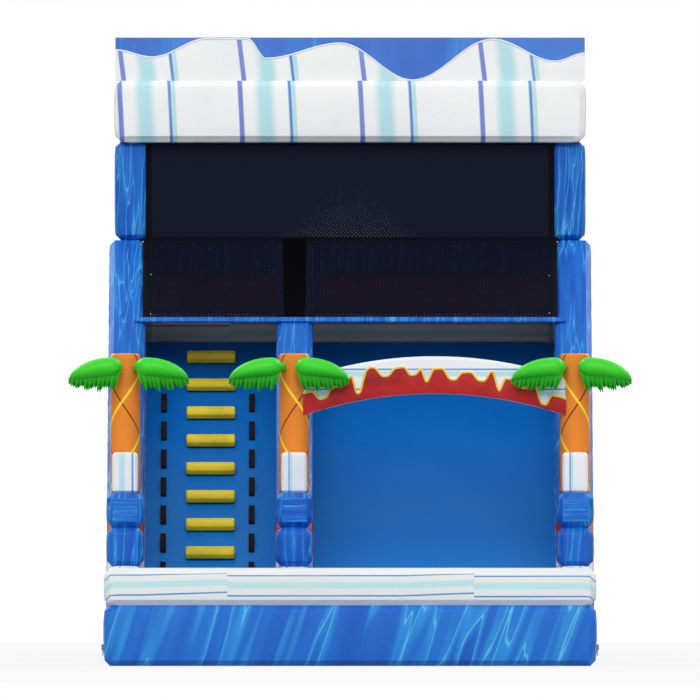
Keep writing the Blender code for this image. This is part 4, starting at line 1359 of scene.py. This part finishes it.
@dataclass
class Nets:
    """The four nets round the platform, the net over the lanes' tops and the pad under it."""

    lane_hole: float = 0.0056
    lane_lift: float = 0.002
    pad_width: float = 0.208
    pad_thickness: float = 0.004
    pad_length: float = 1.14
    pad_lift: float = 0.009

    def upright(self, name: str, axis: int, *held_by: str) -> NetPanel:
        """Places a net in its solid's middle plane.

        Args:
            name: The net's node.
            axis: The axis that the net runs along.
            held_by: What it is tied to.

        Returns:
            The panel.
        """
        low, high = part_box(name)
        corner = Vector(((low.x + high.x) / 2, (low.y + high.y) / 2, low.z + GAP))
        corner[axis] = low[axis]
        along = Vector()
        along[axis] = high[axis] - low[axis]
        up = Vector((0, 0, high.z - low.z - 2 * GAP))
        return NetPanel(f"{name}_mesh", name, corner, along, up, held_by)

    def sloping(self) -> NetPanel:
        """Places the net that lies on the walls' sloping tops.

        Returns:
            The panel.
        """
        low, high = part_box("lane_net")
        corner = Vector((low.x, low.y, low.z + self.lane_lift))
        along = Vector((high.x - low.x, 0, 0))
        up = Vector((0, high.y - low.y, high.z - low.z - self.lane_lift * 2))
        tubes = ("left_blue_tube_cell", "centre_blue_tube_cell", "right_blue_tube_cell")
        return NetPanel("lane_net_mesh", "lane_net", corner, along, up, tubes, sag=0.0,
                        hole=self.lane_hole, twine=SHADED_LANE_TWINE)

    def pad(self) -> Piece:
        """Makes the black wear strip along the centre wall's top.

        Returns:
            The strip.
        """
        low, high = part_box("centre_blue_tube")
        net_low, net_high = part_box("lane_net")
        ahead = Vector((0, net_low.y - net_high.y, net_low.z - net_high.z)).normalized()
        start = Vector(((low.x + high.x) / 2, net_high.y, high.z + self.pad_lift))
        count = 12
        route = [start + ahead * self.pad_length * index / count for index in range(count + 1)]
        build = bmesh.new()
        tube_along(build, route, self.pad_width / 2, self.pad_thickness, ACROSS, corners=16)
        return sewn("centre_wear_pad", build, [PAD_TAPE])

    def build(self) -> None:
        """Hangs every net and lays the pad."""
        for name, end in (("front_net", "front"), ("back_net", "rear")):
            self.upright(name, 0, f"{end}_left_post_cell", f"{end}_right_post_cell", "canopy_cell").build()
        for side in SIDES:
            self.upright(f"{side}_net", 1, f"front_{side}_post_cell", f"rear_{side}_post_cell").build()
        self.sloping().build()
        self.pad()


@dataclass
class ClimbingGear:
    """The eight logs, and the two straps of webbing loops beside them."""

    logs: int = 8
    loops: int = 8
    loop_length: float = 0.25
    loop_rise: float = 0.055
    loop_lift: float = 0.005
    strap_width: float = 0.052
    strap_lift: float = 0.003
    strap_half: float = 0.002
    band: float = 0.0035
    stitch_half: float = 0.02
    stitch_radius: float = 0.0012

    def strap(self, node: str) -> Piece:
        """Makes one row of loops on its strap.

        Args:
            node: The row's node.

        Returns:
            The strap with its loops.
        """
        low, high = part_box(node)
        _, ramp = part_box("climb_ramp")
        pitch = lane_pitch()
        down = Vector((0, -1, -pitch)).normalized()
        out = Vector((0, -pitch, 1)).normalized()
        top = Vector(((low.x + high.x) / 2, high.y, ramp.z - (ramp.y - high.y) * pitch))
        length = (high.y - low.y) * math.hypot(1, pitch)
        build = bmesh.new()
        count = 40
        base = [top + down * length * index / count + out * self.strap_lift for index in range(count + 1)]
        tube_along(build, base, self.strap_width / 2, self.strap_half, ACROSS, material=2)
        step = (length - self.loop_length) / (self.loops - 1)
        for index in range(self.loops):
            middle = top + down * (self.loop_length / 2 + step * index) + out * self.loop_lift
            self.add_loop(build, middle, down, out)
        return sewn(f"{node}_loops", build, [BLACK_STRAP, STRAP_STITCH, LANE_BLUE], node)

    def add_loop(self, build: Geometry, middle: Vector, down: Vector, out: Vector) -> None:
        """Adds one loop, its sewn ends and their stitches.

        Args:
            build: The geometry that takes them.
            middle: The loop's middle on the strap.
            down: The way down the slope.
            out: The way off the slope.
        """
        half, narrowed, steps = self.loop_length / 2, 0.98, 22
        route = []
        for index in range(steps + 1):
            turn = math.pi * index / steps
            lift = self.loop_rise * math.sin(turn) ** 0.6
            route.append(middle - down * half * math.cos(turn) * narrowed + out * lift)
        tube_along(build, route, self.strap_width / 2 * 0.96, self.band / 2, ACROSS)
        inset, spacing, proud = 0.014, 0.010, 0.0025
        for end in (-1, 1):
            for row in range(3):
                centre = middle + down * end * (half - inset - spacing * row) + out * proud
                stitch = [centre - ACROSS * self.stitch_half, centre + ACROSS * self.stitch_half]
                tube_along(build, stitch, self.stitch_radius, self.stitch_radius, down, material=1, corners=6)

    def build(self, yard: Yard) -> None:
        """Builds the logs and both straps.

        Args:
            yard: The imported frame.
        """
        for index in range(1, self.logs + 1):
            AirCell(f"rung_{index}", RUNG_VINYL, roll=0.010, crown=0.004, reach=0.03, grid=0.05,
                    shortest_roll=0.02, sharp=math.radians(25)).build(yard)
        for side in SIDES:
            self.strap(f"{side}_handle_strip")
            LOG.info("the %s row of loops is sewn", side)


@dataclass
class Palm:
    """A palm on a wall's foot: a printed trunk and two puffed, toothed fronds.

    Heights are measured from the trunk's foot. A frond is blunt at its root, rounds down to its
    tip along its back, and has two rows of teeth under it, set half a tooth apart.
    """

    node: str
    block: str
    mirrored: bool
    shift: float
    radius: float = 0.131
    height: float = 1.215
    rolled: float = 0.018
    frond_root: float = 0.057
    frond_reach: float = 0.52
    under_z: float = 1.020
    under_fall: float = 0.044
    tip_z: float = 1.003
    back_rise: float = 0.18
    blunt: float = 0.2
    half_width: float = 0.10
    fullest: float = 0.086
    forward: float = 0.126
    stations: int = 36
    teeth: int = 11
    fringe_start: float = 0.07
    fringe_end: float = 0.98
    tooth_share: float = 0.72
    tooth_sweep: float = 0.022
    tooth_thickness: float = 0.016
    unevenness: float = 0.12
    collar_size: float = 0.03

    def axis(self) -> Vector:
        """Gives the trunk's foot."""
        low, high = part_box(self.block)
        return Vector(((low.x + high.x) / 2, high.y + self.radius + GAP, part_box(self.node)[0].z))

    def middle_y(self) -> float:
        """Gives the fronds' middle plane before the trunk's axis."""
        return -self.forward - self.half_width

    def trunk(self, build: Geometry) -> None:
        """Adds the trunk with its rolled ends.

        Args:
            build: The palm's geometry.
        """
        steps, strips = 4, 12
        core = self.radius - self.rolled
        curve = [(math.sin(math.pi / 2 * step / steps), math.cos(math.pi / 2 * step / steps))
                 for step in range(steps + 1)]
        profile = [(core + self.rolled * sine, self.rolled - self.rolled * cosine) for sine, cosine in curve]
        profile += [(self.radius, self.rolled + (self.height - 2 * self.rolled) * strip / strips)
                    for strip in range(1, strips)]
        profile += [(core + self.rolled * cosine, self.height - self.rolled + self.rolled * sine)
                    for sine, cosine in curve]
        profile.append((self.radius * 0.4, self.height + 0.004))
        loft(build, [[(radius * cosine, radius * sine, z) for cosine, sine in circle(40)]
                     for radius, z in profile])

    def section(self, share: float) -> tuple[float, float, float, float]:
        """Measures a frond at a share of its length.

        Args:
            share: From 0 at the trunk to 1 at the tip.

        Returns:
            The reach, the middle's height, the half height and the half width.
        """
        thinnest, narrowest = 0.002, 0.004
        reach = self.frond_root + (self.frond_reach - self.frond_root) * share
        past = max(share - self.blunt, 0.0) / (1 - self.blunt)
        short = max(self.blunt - share, 0.0) / self.blunt
        under = self.under_z - self.under_fall * share
        back = self.tip_z + self.back_rise * max(1 - past ** 2, 0.0) ** 0.62
        end = math.sqrt(max(1 - short ** 2, 0.0))
        half = max((back - under) / 2 * end, thinnest)
        return reach, (back + under) / 2, half, max(self.half_width * half / self.fullest, narrowest)

    def leaf(self, build: Geometry, hand: int) -> None:
        """Adds one puffed leaf.

        Args:
            build: The palm's geometry.
            hand: -1 for the left frond, 1 for the right.
        """
        rings = []
        for station in range(self.stations + 1):
            reach, centre, rise, width = self.section((1 - math.cos(math.pi * station / self.stations)) / 2)
            rings.append([(self.shift + hand * reach, self.middle_y() + width * cosine, centre + rise * sine)
                          for cosine, sine in circle(24)])
        loft(build, rings, material=1)

    def fringe(self, build: Geometry, hand: int) -> None:
        """Adds the uneven teeth under one leaf.

        Args:
            build: The palm's geometry.
            hand: -1 for the left frond, 1 for the right.
        """
        span = (self.fringe_end - self.fringe_start) / self.teeth
        half = span * (self.frond_reach - self.frond_root) * self.tooth_share
        for tooth in range(self.teeth):
            for layer in (-1, 1):
                share = self.fringe_start + span * (tooth + 0.5 + 0.25 * layer)
                uneven = 1 + self.unevenness * math.sin(2.3 * tooth + layer)
                self.tooth(build, hand, share, half, uneven, layer)

    def tooth(self, build: Geometry, hand: int, share: float, half: float, uneven: float, layer: int) -> None:
        """Adds one tooth, which hangs from inside the leaf and sweeps outward.

        Args:
            build: The palm's geometry.
            hand: -1 for the left frond, 1 for the right.
            share: Its place along the leaf.
            half: Half its width at the root.
            uneven: How long it is against its neighbours.
            layer: -1 for the front row, 1 for the back row.
        """
        reach, centre, rise, width = self.section(share)
        drop = (rise * 0.7 + 0.08 * (1 - share ** 3) + 0.03) * uneven
        steps = 7
        rings = []
        for step in range(steps + 1):
            along = step / steps
            slim = (1 - along) ** 0.6
            x = self.shift + hand * (reach + self.tooth_sweep * along ** 2)
            y = self.middle_y() + layer * width * 0.45 * (1 - along * 0.4)
            z = centre - rise * 0.3 - drop * along
            thick, wide = self.tooth_thickness * slim + 0.0012, half * slim + 0.0008
            rings.append([(x - wide, y, z), (x, y - thick, z), (x + wide, y, z), (x, y + thick, z)])
        loft(build, rings, material=1)

    def collar(self, build: Geometry, hand: int) -> None:
        """Adds the short neck that joins a leaf to the trunk.

        Args:
            build: The palm's geometry.
            hand: -1 for the left frond, 1 for the right.
        """
        steps, inside, widest, bulge = 6, 0.03, 0.09, 0.012
        leaf_x = self.shift + hand * (self.frond_root + 0.055)
        trunk_x = min(max(leaf_x, -widest), widest)
        _, middle, _, _ = self.section(self.blunt)
        rings = []
        for step in range(steps + 1):
            share = step / steps
            x = leaf_x * (1 - share) + trunk_x * share
            y = self.middle_y() + (self.half_width + inside) * share
            size = self.collar_size + bulge * math.sin(math.pi * share)
            rings.append([(x + size * cosine, y, middle + size * sine) for cosine, sine in circle(12)])
        loft(build, rings, material=1)

    def build(self) -> Piece:
        """Builds the palm in its node's place.

        Returns:
            The palm.
        """
        build = bmesh.new()
        self.trunk(build)
        for hand in (-1, 1):
            self.leaf(build, hand)
            self.fringe(build, hand)
            self.collar(build, hand)
        bark = BarkPrint(f"orange_vinyl_{'right' if self.mirrored else 'left'}", "orange_vinyl",
                         hand=-1.0 if self.mirrored else 1.0)
        palm = sewn(f"{self.node}_tree", build, [bark, LEAF_GREEN], self.node, smooth_angle=50,
                    place=self.axis())
        LOG.info("%s stands", self.node)
        return palm


@dataclass
class Arch:
    """The arch over the slide lane and the dripping lava band before it.

    The crest gives the lava's height over the arch's inner edge at shares of the way from the
    centre trunk's axis to the right one's.
    """

    top_rise: float = 0.22
    band: float = 0.33
    steps: int = 48
    fine_steps: int = 420
    trunk: float = 0.131
    tuck: float = 0.62
    roll: float = 0.03
    crest: tuple[tuple[float, float], ...] = (
        (0.0, 0.150), (0.040, 0.193), (0.066, 0.188), (0.095, 0.094), (0.117, 0.094), (0.138, 0.172),
        (0.165, 0.160), (0.182, 0.172), (0.213, 0.240), (0.220, 0.080), (0.240, 0.060), (0.256, 0.230),
        (0.268, 0.272), (0.286, 0.268), (0.322, 0.176), (0.338, 0.176), (0.362, 0.238), (0.396, 0.240),
        (0.414, 0.165), (0.434, 0.170), (0.457, 0.234), (0.465, 0.102), (0.477, 0.104), (0.494, 0.214),
        (0.528, 0.222), (0.553, 0.128), (0.572, 0.122), (0.596, 0.192), (0.629, 0.200), (0.654, 0.133),
        (0.676, 0.135), (0.694, 0.224), (0.710, 0.228), (0.719, 0.070), (0.732, 0.072), (0.744, 0.186),
        (0.785, 0.192), (0.806, 0.131), (0.822, 0.138), (0.838, 0.200), (0.856, 0.190), (0.874, 0.040),
        (0.894, 0.036), (0.914, 0.140), (0.958, 0.148), (1.0, 0.120),
    )

    def ends(self) -> tuple[float, float]:
        """Gives the two trunks' axes."""
        centre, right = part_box("centre_block"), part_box("right_block")
        return (centre[0].x + centre[1].x) / 2, (right[0].x + right[1].x) / 2

    def arc(self, share: float, off: float) -> tuple[float, float]:
        """Finds a point of the arch.

        Args:
            share: From 0 at the left trunk's axis to 1 at the right one's.
            off: How far it lies above the inner edge.

        Returns:
            X and Z.
        """
        left, right = self.ends()
        half = (right - left) / 2
        radius = (half ** 2 + self.top_rise ** 2) / (2 * self.top_rise)
        turn = math.asin(half / radius) * (2 * share - 1)
        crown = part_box("arch")[1].z - self.band + off
        return (left + right) / 2 + radius * math.sin(turn), crown - radius * (1 - math.cos(turn))

    def shares(self, steps: int) -> list[float]:
        """Lists even shares of the arch between the trunks.

        Args:
            steps: How many steps there are between them.

        Returns:
            The shares, from the left.
        """
        left, right = self.ends()
        start = (self.trunk + GAP) / (right - left) * self.tuck
        return [start + (1 - 2 * start) * step / steps for step in range(steps + 1)]

    def crest_height(self, share: float) -> float:
        """Gives the lava's height over the inner edge, eased and rounded between turning points.

        Args:
            share: The share of the arch.

        Returns:
            The height.
        """
        window, samples = 0.007, 5
        heights = []
        for sample in range(samples):
            place = min(max(share + window * (2 * sample / (samples - 1) - 1), 0.0), 1.0)
            for (start, low), (end, high) in zip(self.crest, self.crest[1:]):
                if place <= end:
                    ease = (1 - math.cos(math.pi * (place - start) / (end - start))) / 2
                    heights.append(low + (high - low) * ease)
                    break
        return sum(heights) / samples

    def body(self) -> Piece:
        """Makes the arch with its rolled edges.

        Returns:
            The arch.
        """
        low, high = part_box("arch")
        section = self.round_section(low.y, high.y)
        rings = []
        for share in self.shares(self.steps):
            ring = []
            for y, off in section:
                x, z = self.arc(share, off)
                ring.append((x, y, z))
            rings.append(ring)
        build = bmesh.new()
        loft(build, rings)
        return sewn("arch_cell", build, [ARCH_WHITE], "arch")

    def round_section(self, front: float, back: float) -> list[tuple[float, float]]:
        """Gives the arch's rounded section.

        Args:
            front: The front's Y.
            back: The back's Y.

        Returns:
            Pairs of Y and height over the inner edge.
        """
        roll, steps = self.roll, 4
        points = []
        corners = ((front + roll, roll, 1.5), (front + roll, self.band - roll, 1.0),
                   (back - roll, self.band - roll, 0.5), (back - roll, roll, 0.0))
        for centre_y, centre_off, first in corners:
            for step in range(steps + 1):
                turn = math.pi * (first - 0.5 * step / steps)
                points.append((centre_y + roll * math.cos(turn), centre_off + roll * math.sin(turn)))
        return points

    def lava(self) -> Piece:
        """Makes the lava band as one soft relief.

        Returns:
            The band.
        """
        low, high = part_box("lava_trim")
        foot, proud, bow, rows = 0.004, 0.008, 0.006, 6
        columns = []
        for share in self.shares(self.fine_steps):
            height = self.crest_height(share)
            column = []
            for row in range(rows + 1):
                x, z = self.arc(share, foot + (height - foot) * row / rows)
                column.append((x, low.y + proud - bow * math.sin(math.pi * row / rows) ** 0.6, z))
            columns.append(column)
        build = bmesh.new()
        relief(build, columns, high.y)
        return sewn("lava_band", build, [LAVA_VINYL], "lava_trim", smooth_angle=50)

    def edging(self) -> None:
        """Makes the yellow welt along the lava's crest and the pale one outside it."""
        low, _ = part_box("lava_trim")
        across = 0.006
        for name, finish, lift, thick, depth in (
            ("lava_edging", LAVA_EDGE, 0.004, 0.010, 0.007),
            ("lava_pale_edging", PALE_EDGE, 0.014, 0.006, 0.013),
        ):
            route = []
            for share in self.shares(self.fine_steps):
                x, z = self.arc(share, self.crest_height(share) + lift)
                route.append(Vector((x, low.y + depth, z)))
            build = bmesh.new()
            tube_along(build, route, across, thick, Vector((0, 1, 0)))
            sewn(name, build, [finish], smooth_angle=70)

    def build(self) -> None:
        """Builds the arch, the lava and its edges."""
        self.body()
        self.lava()
        self.edging()
        LOG.info("the arch spans the slide lane")


@dataclass
class AirSupply:
    """The blower with its better finishes, and the fabric sleeve tied round its snout."""

    sleeve_radius: float = 0.124
    waist: float = 0.109
    wall: float = 0.004
    folds: int = 14
    fold_depth: float = 0.0045
    ripple: float = 0.003
    tie: float = 0.87
    tie_reach: float = 0.10
    strap_radius: float = 0.116
    strap_width: float = 0.026
    strap_half: float = 0.0018

    def sleeve(self) -> Piece:
        """Makes the sleeve with the folds that its strap gathers.

        Returns:
            The sleeve.
        """
        low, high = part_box("inflation_sleeve")
        middle = (low + high) / 2
        stations, corners = 44, 96
        outside, inside = [], []
        for station in range(stations + 1):
            share = station / stations
            y = low.y + (high.y - low.y) * share
            pull = math.exp(-((share - self.tie) / self.tie_reach) ** 2)
            radius = self.sleeve_radius - (self.sleeve_radius - self.waist) * pull
            for rings, inset in ((outside, 0.0), (inside, self.wall)):
                ring = []
                for corner, (cosine, sine) in enumerate(circle(corners)):
                    turn = 2 * math.pi * corner / corners
                    fold = self.fold_depth * pull * math.cos(self.folds * turn)
                    fade = math.sin(math.pi * min(share * 1.2, 1.0))
                    reach = radius + fold + self.ripple * math.sin(9 * share + 3 * turn) * fade - inset
                    ring.append((middle.x + reach * cosine, y, middle.z + reach * sine))
                rings.append(ring)
        build = bmesh.new()
        loft(build, outside + inside[::-1], closed=True)
        sleeve = sewn("sleeve_cloth", build, [UPRIGHT_BLUE], "inflation_sleeve", smooth_angle=60)
        self.strap(middle.x, low.y + (high.y - low.y) * self.tie, middle.z)
        return sleeve

    def strap(self, x: float, y: float, z: float) -> Piece:
        """Makes the strap round the sleeve's waist.

        Args:
            x: The sleeve's axis, across.
            y: The strap's place along it.
            z: The sleeve's axis, up.

        Returns:
            The strap.
        """
        half, thick = self.strap_width / 2, self.strap_half
        rings = []
        for cosine, sine in circle(64):
            reaches = [(along, self.strap_radius + out)
                       for along, out in ((-half, -thick), (half, -thick), (half, thick), (-half, thick))]
            rings.append([(x + reach * cosine, y + along, z + reach * sine) for along, reach in reaches])
        build = bmesh.new()
        loft(build, rings, closed=True)
        return sewn("sleeve_strap", build, [BLACK_STRAP])

    def build(self, yard: Yard) -> None:
        """Dresses the blower and the rings, and ties the sleeve.

        Args:
            yard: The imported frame.
        """
        dress = {"blower_housing": CASING, "blower_motor": ALUMINIUM, "blower_impeller": GRAPHITE,
                 "blower_grille": STEEL}
        dress.update({f"{side}_{end}_ring": STEEL for side in SIDES for end in ENDS})
        for node, finish in dress.items():
            mesh = yard.nodes[node].data
            mesh.materials.clear()
            mesh.materials.append(finish.material())
        self.sleeve()
        LOG.info("the blower is dressed and its sleeve tied")


@dataclass
class Studio:
    """The pale floor, the white surround, the soft lamps and the camera before the slide.

    The floor and the surround are seen as white, or nearly, and light the slide at a plain level.
    """

    distance: float = 287.2
    lens: float = 1680.0
    aim_x: float = -0.001
    aim_z: float = 2.735
    far: float = 700.0
    floor_radius: float = 60.0
    floor_drop: float = 0.001
    fade_start: float = 9.0
    fade_end: float = 20.0
    floor_glow: float = 0.87
    fill: float = 0.45
    key: float = 1.95
    back: float = 0.75

    def camera(self) -> None:
        """Sets the camera at the viewing angle, level and far away."""
        data = bpy.data.cameras.new("front_camera")
        data.lens = self.lens
        data.sensor_width = 36.0
        data.clip_end = self.far
        eye = bpy.data.objects.new("front_camera", data)
        eye.location = (self.aim_x, -self.distance, self.aim_z)
        eye.rotation_euler = (math.pi / 2, 0, 0)
        bpy.context.scene.collection.objects.link(eye)
        bpy.context.scene.camera = eye

    def sun(self, name: str, azimuth: float, elevation: float, strength: float, width: float) -> None:
        """Hangs a soft sun.

        Args:
            name: The lamp's name.
            azimuth: Degrees from the front towards the right.
            elevation: Degrees above the ground.
            strength: The lamp's strength.
            width: The lamp's width in degrees, which softens its shadows.
        """
        data = bpy.data.lights.new(name, "SUN")
        data.energy = strength
        data.angle = math.radians(width)
        lamp = bpy.data.objects.new(name, data)
        turn, rise = math.radians(azimuth), math.radians(elevation)
        way = Vector((math.sin(turn) * math.cos(rise), -math.cos(turn) * math.cos(rise), math.sin(rise)))
        lamp.rotation_euler = way.to_track_quat("Z", "Y").to_euler()
        bpy.context.scene.collection.objects.link(lamp)

    def seen(self, tree: bpy.types.NodeTree) -> Socket:
        """Tells whether a ray comes straight from the eye or by way of metal or glass.

        Args:
            tree: The nodes that take the answer.

        Returns:
            The socket of 1 for such a ray, and 0 for any other.
        """
        path = tree.nodes.new("ShaderNodeLightPath")
        total = path.outputs["Is Camera Ray"]
        for kind in ("Is Glossy Ray", "Is Transmission Ray"):
            node = tree.nodes.new("ShaderNodeMath")
            node.operation = "MAXIMUM"
            tree.links.new(total, node.inputs[0])
            tree.links.new(path.outputs[kind], node.inputs[1])
            total = node.outputs[0]
        return total

    def world(self) -> None:
        """Fills the surround with even light, seen as white."""
        world = bpy.data.worlds.new("white_surround")
        bpy.context.scene.world = world
        world.use_nodes = True
        tree = world.node_tree
        tree.nodes.clear()
        output = tree.nodes.new("ShaderNodeOutputWorld")
        mix = tree.nodes.new("ShaderNodeMixShader")
        tree.links.new(self.seen(tree), mix.inputs[0])
        lights = ((ink(255, 252, 247), self.fill), (ink(255, 255, 255), 1.0))
        for number, (colour, strength) in enumerate(lights, start=1):
            shade = tree.nodes.new("ShaderNodeBackground")
            shade.inputs["Color"].default_value = colour
            shade.inputs["Strength"].default_value = strength
            tree.links.new(shade.outputs[0], mix.inputs[number])
        tree.links.new(mix.outputs[0], output.inputs["Surface"])

    def floor(self) -> None:
        """Lays a pale round floor that fades into the white surround."""
        build = bmesh.new()
        rings = 12
        rows = []
        for ring in range(1, rings + 1):
            radius = self.floor_radius * (ring / rings) ** 2
            rows.append([build.verts.new((radius * cosine, radius * sine, -self.floor_drop))
                         for cosine, sine in circle(96)])
        build.faces.new(rows[0])
        for inner, outer in zip(rows, rows[1:]):
            for index in range(len(inner)):
                after = (index + 1) % len(inner)
                build.faces.new((inner[index], inner[after], outer[after], outer[index]))
        mesh = bpy.data.meshes.new("floor")
        build.to_mesh(mesh)
        build.free()
        mesh.materials.append(self.floor_paint())
        floor = bpy.data.objects.new("studio_floor", mesh)
        bpy.context.scene.collection.objects.link(floor)

    def floor_paint(self) -> bpy.types.Material:
        """Paints the floor: pale grey under the slide's shadow, seen almost as white.

        Returns:
            The floor's material.
        """
        shader = Shader("studio_floor_paint")
        shader.roughen(0.9)
        shader.surface.inputs["Specular IOR Level"].default_value = 0.1
        tint = shader.noise(shader.places, scale=0.4, detail=2)
        shader.paint(shader.mix(tint, ink(192, 192, 191), ink(186, 186, 187)))
        length = shader.add("ShaderNodeVectorMath")
        length.operation = "LENGTH"
        shader.join(shader.places, length.inputs[0])
        away = shader.sum("DIVIDE", shader.sum("SUBTRACT", length.outputs["Value"], self.fade_start),
                          self.fade_end - self.fade_start)
        share = shader.sum("MULTIPLY", shader.held(away, self.floor_glow, 1.0), self.seen(shader.tree))
        white = shader.add("ShaderNodeEmission")
        mix = shader.add("ShaderNodeMixShader")
        for number, source in enumerate((share, shader.surface.outputs[0], white.outputs[0])):
            shader.join(source, mix.inputs[number])
        shader.join(mix.outputs[0], shader.output.inputs["Surface"])
        return shader.material

    def build(self) -> None:
        """Sets up the whole studio."""
        bpy.context.scene.view_settings.view_transform = "Standard"
        self.camera()
        self.world()
        self.floor()
        self.sun("key_sun", -4, 40, self.key, 50)
        self.sun("left_back_sun", -140, 38, self.back, 20)
        self.sun("right_back_sun", 130, 38, self.back, 20)
        LOG.info("the studio is lit")


def main() -> None:
    """Builds the slide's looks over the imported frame."""
    logging.basicConfig(level=logging.INFO, format="%(name)s: %(message)s")
    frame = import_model()
    Studio().build()
    yard = Yard.from_frame(frame)
    Structure.from_frame().build(yard)
    WaveBoard().build(yard)
    Nets().build()
    ClimbingGear().build(yard)
    Palm("left_palm", "left_block", False, 0.031).build()
    Palm("centre_palm", "centre_block", True, -0.046).build()
    Palm("right_palm", "right_block", True, -0.031).build()
    Arch().build()
    AirSupply().build(yard)


if __name__ == "__main__":
    main()
